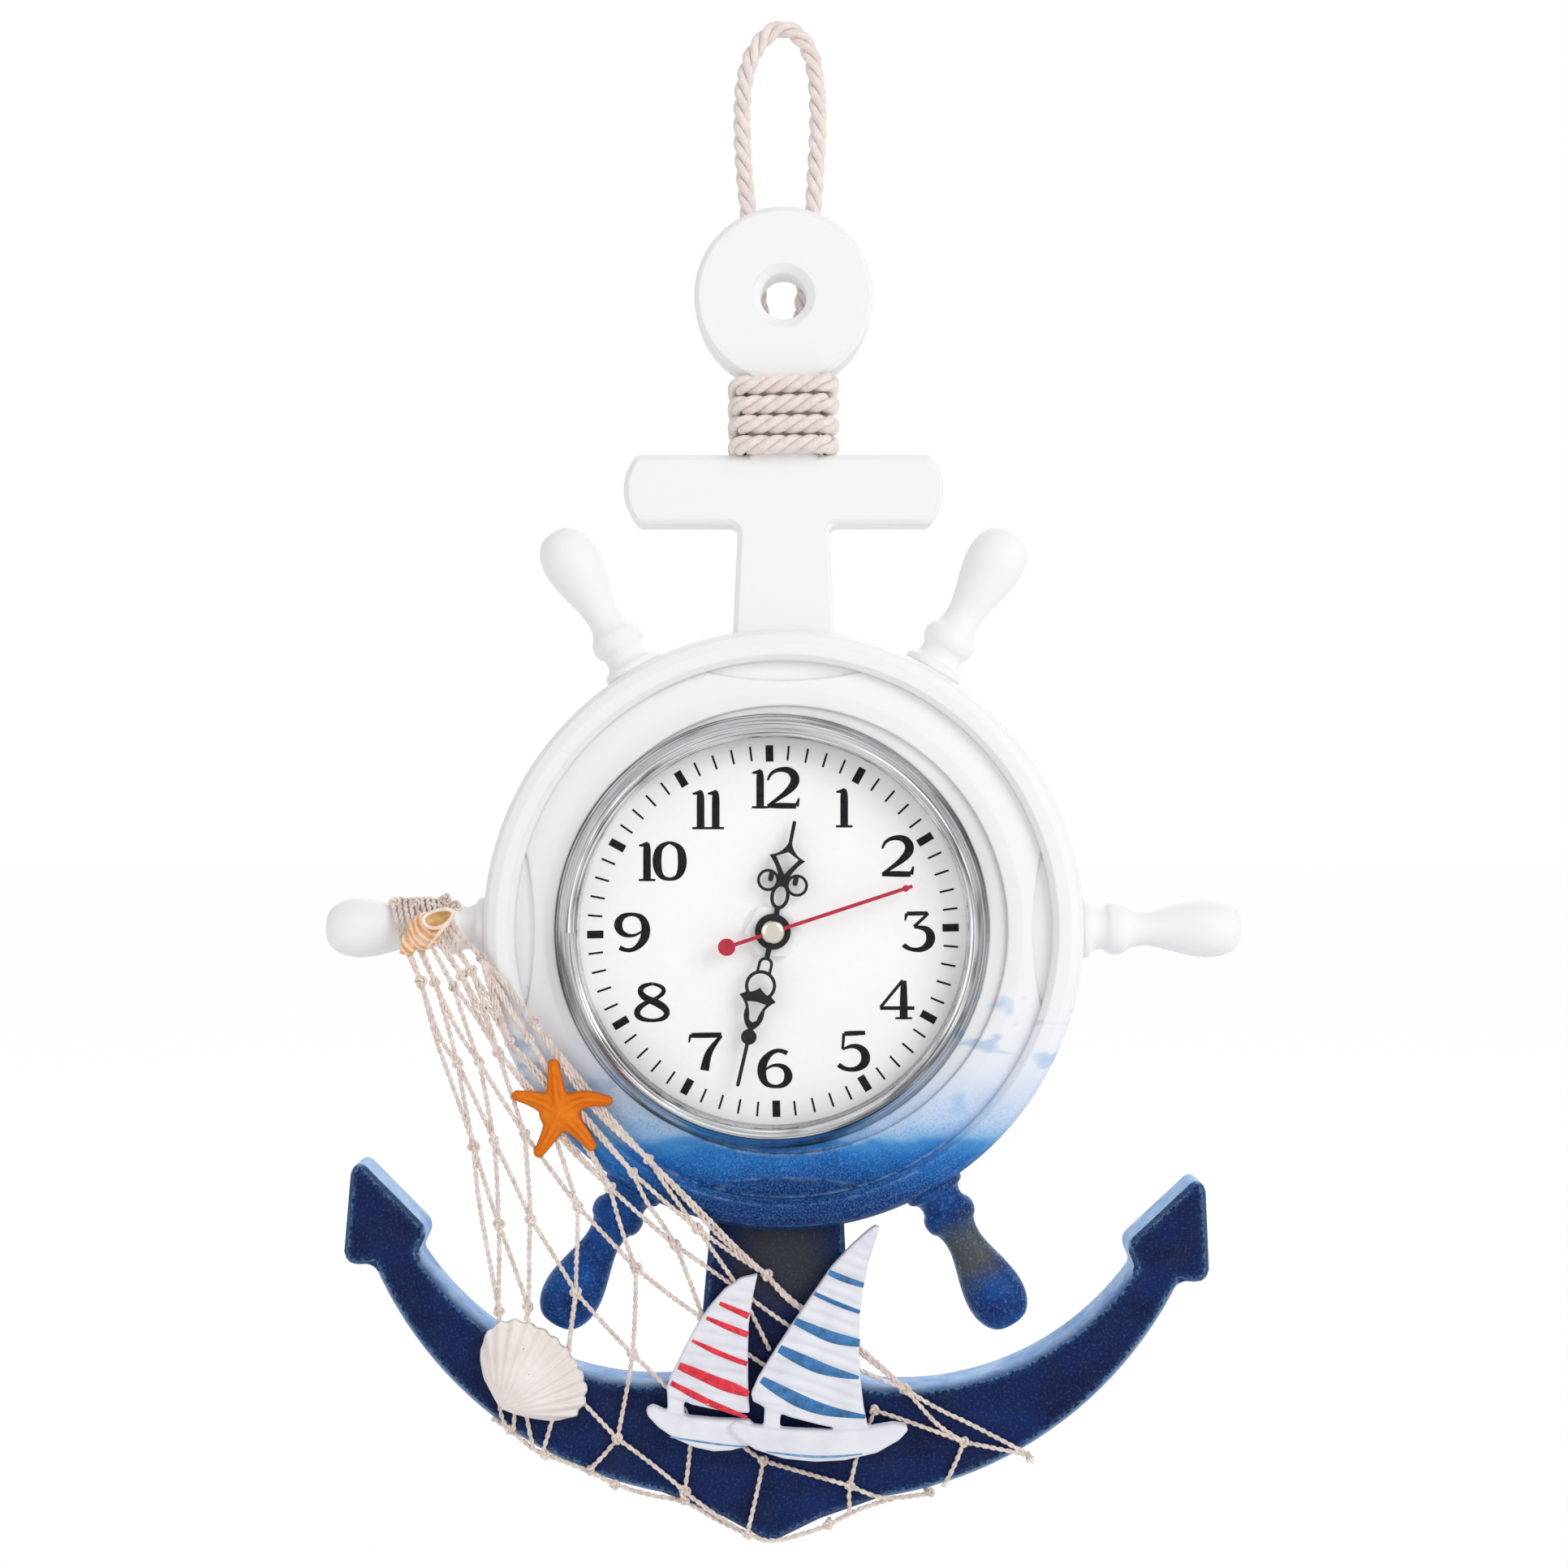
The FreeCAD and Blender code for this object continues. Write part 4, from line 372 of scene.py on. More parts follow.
studio = {
    "worldLevel": 0.58,
    "lamps": (
        ("keyLamp", (0.9, -0.9, 0.6), 0.8, 7.6),
        ("fillLamp", (-0.95, -0.8, 0.3), 1.0, 2.4),
        ("backLamp", (0.2, 1.0, 0.8), 1.0, 6.0),
    ),
    "aim": (0, 0, 0.03),
    "floorSize": 6.0,
    "floorUp": -0.175,
    "floorColour": (0.92, 0.92, 0.92, 1),
    "floorGlow": 0.98,
}
for lampName, spot, size, watts in studio["lamps"]:
    lamp = bpy.data.lights.new(lampName, "AREA")
    lamp.size = size
    lamp.energy = watts
    stand = bpy.data.objects.new(lampName, lamp)
    stand.location = spot
    stand.rotation_euler = (Vector(studio["aim"]) - Vector(spot)).to_track_quat("-Z", "Y").to_euler()
    bpy.context.scene.collection.objects.link(stand)


def seenDirectly(tree):  # one for rays that show the background: the camera's, mirrors' and glass's
    path = node(tree, "LightPath")
    either = maths(tree, "MAXIMUM", (path, "Is Camera Ray"), (path, "Is Glossy Ray"))
    return maths(tree, "MAXIMUM", (either, 0), (path, "Is Transmission Ray"))


world = bpy.data.worlds.new("studioWorld")
bpy.context.scene.world = world
world.use_nodes = True
air = world.node_tree
shine = air.nodes["Background"]
level = maths(air, "MULTIPLY", (seenDirectly(air), 0), 1.0 - studio["worldLevel"])
wire(air, (maths(air, "ADD", (level, 0), studio["worldLevel"]), 0), (shine, "Strength"))
shine.inputs["Color"].default_value = (1, 1, 1, 1)

floorForm = bmesh.new()
bmesh.ops.create_grid(floorForm, x_segments=1, y_segments=1, size=studio["floorSize"])
bmesh.ops.translate(floorForm, verts=floorForm.verts, vec=(0, 0, studio["floorUp"]))
floor = fromBmesh("floor", floorForm)
floorFinish, floorTree, floorShader = startFinish("paleFloor", studio["floorColour"], 0.9)
glow = node(floorTree, "Emission", {"Color": (1, 1, 1, 1), "Strength": 1.0})
cover = node(floorTree, "MixShader")
shown = maths(floorTree, "MULTIPLY", (seenDirectly(floorTree), 0), studio["floorGlow"])
wire(floorTree, (shown, 0), (cover, 0))
wire(floorTree, (floorShader, "BSDF"), (cover, 1))
wire(floorTree, (glow, "Emission"), (cover, 2))
wire(floorTree, (cover, 0), (floorTree.nodes["Material Output"], "Surface"))
floor.data.materials.append(floorFinish)
print("camera, lamps and floor set")

# rope: the hanging loop and the lashing

hangingRope = {
    "diameter": 4.2,
    "strandRadius": 0.97,
    "lay": 12.5,
    "length": 0.178,
    "depth": 2.4,  # behind the boards
    "route": (
        (-3.5, 125.04), (-4.2, 134.5), (-5.6, 143.5), (-6.6, 154.0), (-8.4, 167.0), (-9.5, 179.0),
        (-9.8, 189.0), (-9.3, 197.5), (-6.9, 204.6), (-2.2, 209.6), (3.2, 208.6), (6.7, 203.2), (7.9, 195.5),
        (8.1, 186.5), (7.5, 176.5), (6.9, 166.0), (5.2, 154.0), (4.5, 143.5), (3.4, 134.0), (2.9, 123.65),
    ),
}
lashing = {
    "strandRadius": 1.04,
    "lay": 11.4,
    "halfWidth": 10.6,
    "front": 14.2,
    "back": -2.1,
    "top": 123.9,
    "pitch": 4.6,
    "turns": 4,
    "slope": (0.9, 0.7, 0.1, 0.3),  # how much each front pass falls to the right
    "backFall": 1.0,  # how much half a back pass falls
    "tail": 1.0,  # how deep the two ends are
    "tuck": 0.2,  # how far a pass gives way at the sides
}
ropeMake = {"step": 0.55, "spread": 1.155}  # spread: the strands' way out from the middle, in strand radii


def laidRope(name, line, strandRadius, lay):
    spread = evenly(line, ropeMake["step"] * mm)
    strands = plies(spread, 3, strandRadius * ropeMake["spread"] * mm, -lay * mm)
    mesh = tubes(name, strands, strandRadius * mm, 3)
    return blankObject(name, mesh)


def cottonFinish(name, pale, shade, fibre):
    material, tree, shader = startFinish(name, pale, 0.92, Sheen_Weight=0.25, Sheen_Roughness=0.5)
    tuft = grain(tree, 420, 4, 0.65)
    fibres = grain(tree, 1500 * fibre, 4, 0.7, (1, 1, 0.35), 0.6)
    body = ramp(tree, (tuft, "Fac"), ((0.3, shade), (0.62, pale)))
    streak = ramp(tree, (fibres, "Fac"), ((0.32, 0.84), (0.6, 1.0)))
    colour = mixed(tree, 0.55, (body, "Color"), (streak, "Color"), "MULTIPLY")
    wire(tree, (colour, 2), (shader, "Base Color"))
    bumped(tree, shader, (fibres, "Fac"), 0.55, 0.22)
    return material


ropeFinish = cottonFinish("laidCotton", ink(243, 232, 227), ink(230, 216, 210), 1.0)
twineFinish = cottonFinish("twineCotton", ink(243, 230, 221), ink(208, 188, 177), 1.3)

loopLine = smoothLine([onFront(x, -hangingRope["depth"], z) for x, z in hangingRope["route"]])
loopPiece = laidRope("hangingLoop", loopLine, hangingRope["strandRadius"], hangingRope["lay"])
finishPiece(loopPiece, ropeFinish, "root", ("hanging_rope",))


def lashingRoute():
    side, front, back = lashing["halfWidth"], lashing["front"], lashing["back"]
    pitch, tuck, backFall = lashing["pitch"], lashing["tuck"], lashing["backFall"]
    middle = (front + back) / 2
    half = side / 2
    route = [(side, lashing["tail"], 0.0)]
    for turn, slope in enumerate(lashing["slope"]):
        fall = turn * pitch
        route += [
            (side, middle, fall - slope / 2 - tuck), (side, front, fall - slope / 2),
            (half, front, fall - slope / 4), (0, front, fall), (-half, front, fall + slope / 4),
            (-side, front, fall + slope / 2), (-side, middle, fall + slope / 2 + tuck),
        ]
        if turn < lashing["turns"] - 1:
            drop = fall + pitch / 2
            route += [
                (-side, back, drop - backFall), (-half, back, drop - backFall / 2), (0, back, drop),
                (half, back, drop + backFall / 2), (side, back, drop + backFall),
            ]
    route.append((-side, lashing["tail"], (lashing["turns"] - 1) * pitch + tuck))
    return [onFront(x, depth, lashing["top"] - fall) for x, depth, fall in route]


lashingPiece = laidRope("neckLashing", smoothLine(lashingRoute()), lashing["strandRadius"], lashing["lay"])
finishPiece(lashingPiece, ropeFinish, "root", ("rope_wrap",))
print("rope laid")

# paint: white above, sea blue below

seaPaint = {
    "top": -4.0,  # millimetres up the wheel where the ramp ends
    "bottom": -76.0,
    "white": ink(242, 242, 243),
    # height in millimetres, and the colour there
    "bands": (
        (-76, ink(12, 24, 70)), (-66, ink(10, 30, 84)), (-60, ink(8, 42, 104)), (-55, ink(14, 76, 150)),
        (-50.5, ink(32, 106, 182)), (-48, ink(66, 138, 204)), (-46.6, ink(140, 184, 224)),
        (-43.5, ink(190, 211, 239)), (-37, ink(213, 223, 242)), (-31, ink(230, 234, 244)),
        (-23, ink(240, 241, 244)), (-10, ink(242, 242, 243)),
    ),
    "speckle": ink(78, 148, 214),
    "wave": ink(150, 188, 226),
    "wornWhite": ink(236, 237, 240),
    "wornBlue": ink(120, 168, 220),
    "wear": 0.75,
    # share of the ramp's height, and how much shows there
    "waveZone": ((0.42, 0.0), (0.54, 0.65), (0.84, 0.55), (0.92, 0.0)),
    "sprayZone": ((0.0, 0.1), (0.14, 0.26), (0.26, 0.55), (0.38, 0.6), (0.5, 0.22), (0.6, 0.0)),
    # how fine each pattern is, in 1/m
    "drift": 38,
    "strokes": 92,
    "dots": 2300,
    "rubs": 260,
    "brush": 130,
    "coat": 700,
}


def seaFinish(name, wobble, edge):  # how far the bands wander and how wide an edge is worn, in millimetres
    material, tree, shader = startFinish(name, seaPaint["white"], 0.5, Specular_IOR_Level=0.15)
    drift = grain(tree, seaPaint["drift"], 3, 0.55, (1, 1, 1.6), 0.8)
    swing = maths(tree, "MULTIPLY", (maths(tree, "SUBTRACT", (drift, "Fac"), 0.5), 0), wobble * mm)
    height = maths(tree, "ADD", (axesOf(tree), "Z"), (swing, 0))
    span = (seaPaint["top"] - seaPaint["bottom"]) * mm
    above = maths(tree, "SUBTRACT", (height, 0), seaPaint["bottom"] * mm)
    level = maths(tree, "DIVIDE", (above, 0), span, True)
    stops = [((z - seaPaint["bottom"]) * mm / span, colour) for z, colour in seaPaint["bands"]]
    sea = ramp(tree, (level, 0), stops)
    # wave strokes where the white meets the blue
    strokes = grain(tree, seaPaint["strokes"], 2, 0.4, (1.0, 1.0, 2.3), 0.5)
    crest = ramp(tree, (strokes, "Fac"), ((0.57, 0.0), (0.68, 1.0)))
    strokeMask = meeting(tree, crest, ramp(tree, (level, 0), seaPaint["waveZone"]))
    waved = mixed(tree, (strokeMask, 0), (sea, "Color"), seaPaint["wave"])
    # fine speckle of the sprayed blue
    dots = grain(tree, seaPaint["dots"], 2, 0.8)
    spray = ramp(tree, (dots, "Fac"), ((0.48, 0.0), (0.62, 1.0)))
    sprayMask = meeting(tree, spray, ramp(tree, (level, 0), seaPaint["sprayZone"]))
    sprayed = mixed(tree, (sprayMask, 0), (waved, 2), seaPaint["speckle"])
    # rubbed edges
    rub = edgeMask(tree, edge, 6, ((0.86, 1.0), (0.99, 0.0)))
    patchy = ramp(tree, (grain(tree, seaPaint["rubs"], 4, 0.75), "Fac"), ((0.42, 0.0), (0.62, 1.0)))
    wear = maths(tree, "MULTIPLY", (meeting(tree, rub, patchy), 0), seaPaint["wear"])
    wornColour = ramp(tree, (level, 0), ((0.2, seaPaint["wornBlue"]), (0.6, seaPaint["wornWhite"])))
    worn = mixed(tree, (wear, 0), (sprayed, 2), (wornColour, "Color"))
    wire(tree, (worn, 2), (shader, "Base Color"))
    # brushed coat over wood
    brush = grain(tree, seaPaint["brush"], 5, 0.6, (1, 1, 5))
    coat = grain(tree, seaPaint["coat"], 3, 0.6)
    both = mixed(tree, 0.4, (brush, "Color"), (coat, "Color"))
    bumped(tree, shader, (both, 2), 0.28, 0.25, (roundNormal(tree, 0.9), "Normal"))
    steer(tree, shader, "Roughness", brush, ((0.3, 0.42), (0.7, 0.58)))
    return material


navyPaint = {
    "speck": ink(112, 172, 230),
    "side": ink(176, 204, 238),
    "sideShade": ink(104, 150, 212),
    "worn": 2.6,  # how wide an edge is worn, in millimetres
    # dust: how far a surface turns to the front or back, and how much of the lighter dust shows there
    "board": {
        "deep": ink(10, 20, 62), "lighter": ink(16, 38, 92), "charcoal": ink(50, 52, 60),
        "sheen": 0.07, "dust": ((0.15, 0.08), (0.6, 0.08)),
    },
    "handle": {
        "deep": ink(12, 34, 92), "lighter": ink(24, 82, 158), "charcoal": ink(76, 76, 78),
        "sheen": 0.4, "dust": ((0.15, 0.85), (0.75, 0.22)),
    },
}


def navyFinish(name, kind, patches=()):  # patches are (middle, reach) of dark grey areas, in millimetres
    coat, speck = navyPaint[kind], navyPaint["speck"]
    sheen = {"Sheen_Weight": coat["sheen"], "Sheen_Roughness": 0.4, "Sheen_Tint": speck}
    material, tree, shader = startFinish(name, coat["deep"], 0.42, Specular_IOR_Level=0.12, **sheen)
    cloud = grain(tree, 60, 4, 0.6, (1, 1, 2.0))
    base = ramp(tree, (cloud, "Fac"), ((0.35, coat["deep"]), (0.75, coat["lighter"])))
    colour = (base, "Color")
    for spot, reach in patches:
        shift = [-s * mm / (r * mm) for s, r in zip(spot, reach)]
        where = place(tree, [1 / (r * mm) for r in reach], shift)
        ball = node(tree, "TexGradient", gradient_type="SPHERICAL")
        wire(tree, (where, "Vector"), (ball, "Vector"))
        patchEdgeNoise = maths(tree, "MULTIPLY", (grain(tree, 150, 4, 0.7), "Fac"), 0.5)
        cover = maths(tree, "ADD", (ball, "Fac"), (patchEdgeNoise, 0))
        mask = ramp(tree, (cover, 0), ((0.26, 0.0), (0.76, 1.0)))
        colour = (mixed(tree, (mask, "Color"), colour, coat["charcoal"]), 2)
    # rubbed edges
    rub = edgeMask(tree, navyPaint["worn"], 8, ((0.82, 1.0), (0.996, 0.0)))
    specks = ramp(tree, (grain(tree, 1100, 3, 0.8), "Fac"), ((0.44, 0.0), (0.6, 1.0)))
    worn = mixed(tree, (meeting(tree, rub, specks), 0), colour, speck)
    # fine dots of the lighter paint, thicker towards a handle's sides
    across = maths(tree, "ABSOLUTE", (axesOf(tree, "Normal"), "Y"))
    dust = ramp(tree, (grain(tree, 1500, 2, 0.8), "Fac"), ((0.54, 0.0), (0.66, 1.0)))
    thick = ramp(tree, (across, 0), coat["dust"])
    colour = (mixed(tree, (meeting(tree, dust, thick), 0), (worn, 2), speck), 2)
    if kind == "board":  # its sawn sides are a lighter blue
        edgeTone = ramp(tree, (across, 0), ((0.25, 1.0), (0.75, 0.0)))
        sideStops = ((0.3, navyPaint["sideShade"]), (0.6, navyPaint["side"]))
        sideTone = ramp(tree, (grain(tree, 90, 4, 0.7), "Fac"), sideStops)
        colour = (mixed(tree, (edgeTone, "Color"), colour, (sideTone, "Color")), 2)
    wire(tree, colour, (shader, "Base Color"))
    brush = grain(tree, 160, 5, 0.65, (1, 1, 3))
    bumped(tree, shader, (brush, "Fac"), 0.3, 0.25, (roundNormal(tree, 0.8), "Normal"))
    steer(tree, shader, "Roughness", brush, ((0.3, 0.32), (0.7, 0.5)))
    return material


# the lower board, with the flukes' corners rounded

flukes = {
    "beyond": 60.0,  # how far across the corners are
    "tall": 7.0,
    "upright": 0.05,
    "least": 24.0,  # an edge that turns more than this, in degrees, is a corner
    "tipTurn": 60.0,  # the tip's two corners turn less than this, and the others more
    "tipRound": 1.25,
    "round": 2.2,
    "segments": 6,
    "weld": 0.004,
    "flat": 0.6,  # faces that turn less than this, in degrees, are one
    "patch": ((-1.0, -12.0, -76.0), (15.0, 12.0, 13.0)),
}


def flukeCorners(form, atTip):
    corners = []
    for edge in form.edges:
        run = edge.verts[1].co - edge.verts[0].co
        upright = abs(run.y) > flukes["tall"] * mm and math.hypot(run.x, run.z) < flukes["upright"] * mm
        if upright and abs(edge.verts[0].co.x) > flukes["beyond"] * mm:
            turn = math.degrees(edge.calc_face_angle(0.0))
            if turn > flukes["least"] and atTip == (turn < flukes["tipTurn"]):
                corners.append(edge)
    return corners


def makeLowerBoard():
    form = bmesh.new()
    form.from_mesh(nodes["anchor_bottom"].data)
    bmesh.ops.remove_doubles(form, verts=form.verts, dist=flukes["weld"] * mm)
    flat = math.radians(flukes["flat"])
    bmesh.ops.dissolve_limit(form, angle_limit=flat, verts=form.verts, edges=form.edges)
    for atTip, size in ((True, flukes["tipRound"]), (False, flukes["round"])):
        bmesh.ops.bevel(
            form, geom=flukeCorners(form, atTip), offset=size * mm, affect="EDGES",
            segments=flukes["segments"], profile=0.5, material=-1, clamp_overlap=True,
        )
    bmesh.ops.triangulate(form, faces=form.faces, ngon_method="EAR_CLIP")
    return fromBmesh("lowerBoard", form, smooth=False)


navyBoardFinish = navyFinish("navyBoard", "board", (flukes["patch"],))
finishPiece(makeLowerBoard(), navyBoardFinish, "root", ("anchor_bottom",))

# handles, turned

handleShape = {
    "names": ("right", "upper_right", "upper_left", "left", "lower_left", "lower_right"),
    "between": 60,  # degrees
    "ring": 68.0,
    "axisDepth": 10.0,
    "sides": 64,
    # out from the ring's rim and the radius there, in millimetres
    "profile": (
        (-8.0, 0.0), (-8.0, 3.4), (-0.6, 3.4), (-0.2, 6.9), (0.6, 7.0), (1.7, 6.7), (2.2, 5.5), (3.6, 4.8),
        (5.4, 5.0), (6.2, 5.9), (8.0, 6.2), (9.8, 5.7), (10.6, 4.7), (12.6, 4.1), (15.4, 4.0), (19.3, 4.9),
        (24.0, 6.2), (28.4, 6.9), (32.4, 6.4), (35.4, 4.7), (36.5, 2.4), (36.5, 0.0),
    ),
    "patch": ((42.5, -10.0, -73.5), (10.0, 14.0, 11.0)),  # on the lower right one
}


def turnedHandle(index, name):
    angle = math.radians(handleShape["between"] * index)
    outwards = Vector((math.cos(angle), 0, math.sin(angle)))
    profile = rounded([(radius, handleShape["ring"] + out) for out, radius in handleShape["profile"]], 5)
    turn = outwards.to_track_quat("Z", "Y").to_matrix().to_4x4()
    placing = Matrix.Translation((0, -handleShape["axisDepth"] * mm, 0)) @ turn
    return lathe(name, profile, handleShape["sides"], placing, closed=False)


paleHandleFinish = seaFinish("paleHandle", 0.0, 1.2)
blueHandles = {
    "lower_left": navyFinish("navyHandleLeft", "handle"),
    "lower_right": navyFinish("navyHandleRight", "handle", (handleShape["patch"],)),
}
for index, name in enumerate(handleShape["names"]):
    first, *others = name.split("_")
    piece = turnedHandle(index, first + "".join(word.title() for word in others) + "Handle")
    finishPiece(piece, blueHandles.get(name, paleHandleFinish), "root", ("handle_" + name,))
print("handles turned")

# the insert: bezel, dial print, cap

insert = {"across": -2.4, "up": -0.3, "sides": 160}
insertMiddle = Matrix.Translation((insert["across"] * mm, 0, insert["up"] * mm))
insertPlace = insertMiddle @ Matrix.Rotation(math.radians(90), 4, "X")
bezelProfile = (
    (43.7, 17.6), (49.0, 17.6), (49.1, 18.3), (49.0, 18.9), (48.5, 19.3), (48.3, 19.6), (48.5, 20.0),
    (48.2, 20.9), (47.7, 21.5), (47.5, 22.2), (47.0, 23.6), (46.7, 24.0), (46.6, 24.5), (46.1, 25.6),
    (45.7, 26.0), (45.3, 26.3), (44.9, 26.1), (44.7, 25.7), (44.5, 25.5), (44.3, 25.5), (44.1, 25.2),
    (43.8, 24.9), (43.7, 24.3),
)
chrome = {
    "grooves": 2600.0,  # how fine the turned grooves are, and the light and dark rings of painted reflection that follow them, in 1/m
    "sweep": 1.1,  # how fast they change on the way round
    "depth": 160.0,  # how fast the painted dark reflection patches change outwards, in 1/m
    # patches and the last ramp set the painted dark reflections round the bezel; tones are the painted
    # reflection rings along the grooves
    "patches": 2.1,
    "tones": ((0.32, ink(116, 118, 122)), (0.48, ink(192, 193, 195)), (0.66, ink(240, 241, 242))),
    "paintedReflectionShades": ((0.34, 0.3), (0.43, 0.8), (0.52, 1.0)),
}


def chromeFinish():
    material, tree, shader = startFinish("chromePaintedReflections", ink(196, 198, 202), 0.16, 1.0)
    parts = axesOf(tree)
    right = maths(tree, "ADD", (parts, "X"), -insert["across"] * mm)
    above = maths(tree, "ADD", (parts, "Z"), -insert["up"] * mm)
    angle = maths(tree, "ARCTAN2", (above, 0), (right, 0))
    squares = [(maths(tree, "POWER", (side, 0), 2.0), 0) for side in (right, above)]
    radius = maths(tree, "SQRT", (maths(tree, "ADD", *squares), 0))
    rings = node(tree, "CombineXYZ")
    wire(tree, (maths(tree, "MULTIPLY", (radius, 0), chrome["grooves"]), 0), (rings, "X"))
    wire(tree, (maths(tree, "MULTIPLY", (angle, 0), chrome["sweep"]), 0), (rings, "Y"))
    streaks = noisy(tree, rings, 1.0)
    # painted reflection: light and dark rings that follow the turned grooves
    tone = ramp(tree, (streaks, "Fac"), chrome["tones"])
    # painted reflection: dark patches round the bezel, fixed to it
    reflectionSectors = node(tree, "CombineXYZ")
    wire(tree, (maths(tree, "COSINE", (angle, 0)), 0), (reflectionSectors, "X"))
    wire(tree, (maths(tree, "SINE", (angle, 0)), 0), (reflectionSectors, "Y"))
    wire(tree, (maths(tree, "MULTIPLY", (radius, 0), chrome["depth"]), 0), (reflectionSectors, "Z"))
    shade = ramp(tree, (noisy(tree, reflectionSectors, chrome["patches"], 2.0, 0.5), "Fac"), chrome["paintedReflectionShades"])
    paintedReflectionColour = mixed(tree, 1.0, (tone, "Color"), (shade, "Color"), "MULTIPLY")
    wire(tree, (paintedReflectionColour, 2), (shader, "Base Color"))
    steer(tree, shader, "Roughness", grain(tree, 900, 3, 0.7), ((0.4, 0.1), (0.75, 0.28)))
    bumped(tree, shader, (streaks, "Fac"), 0.12, 0.08)
    return material


bezelPiece = lathe("chromedBezel", bezelProfile, insert["sides"], insertPlace)
finishPiece(bezelPiece, chromeFinish(), "root", ("bezel",))

dialPrint = {
    "front": 18.1,
    "turn": 1.1,  # degrees anticlockwise
    "numeralHeight": 9.0,
    "numeralLift": 0.03,
    "numeralThick": 0.04,  # share of a pen's width
    "tickOut": 41.95,
    "tickLift": 0.01,
    "weight": 1.18,
    "block": (3.7, 1.75),
    "line": (3.3, 0.46),
    "ink": 0.05,
}
# Middle of each hour's numeral, across and up from the dial's, in millimetres, from one o'clock round
numeralPlaces = (
    (15.8, 27.9), (27.8, 16.8), (32.6, 0.0), (28.0, -15.4), (18.0, -27.0), (0.5, -31.0), (-15.1, -27.3),
    (-27.2, -16.1), (-31.8, -0.3), (-26.0, 15.8), (-14.9, 27.5), (-0.6, 32.2),
)
digitWidth = {
    "0": 1.22, "1": 1.05, "2": 1.08, "3": 1.06, "4": 1.12, "5": 1.05, "6": 1.12, "7": 1.18, "8": 1.24,
    "9": 1.16,
}
digitSpread = {"10": 0.6, "11": 0.38, "12": 0.57}  # between the digits' middles, in numeral heights
heavy, fine = 0.1, 0.032
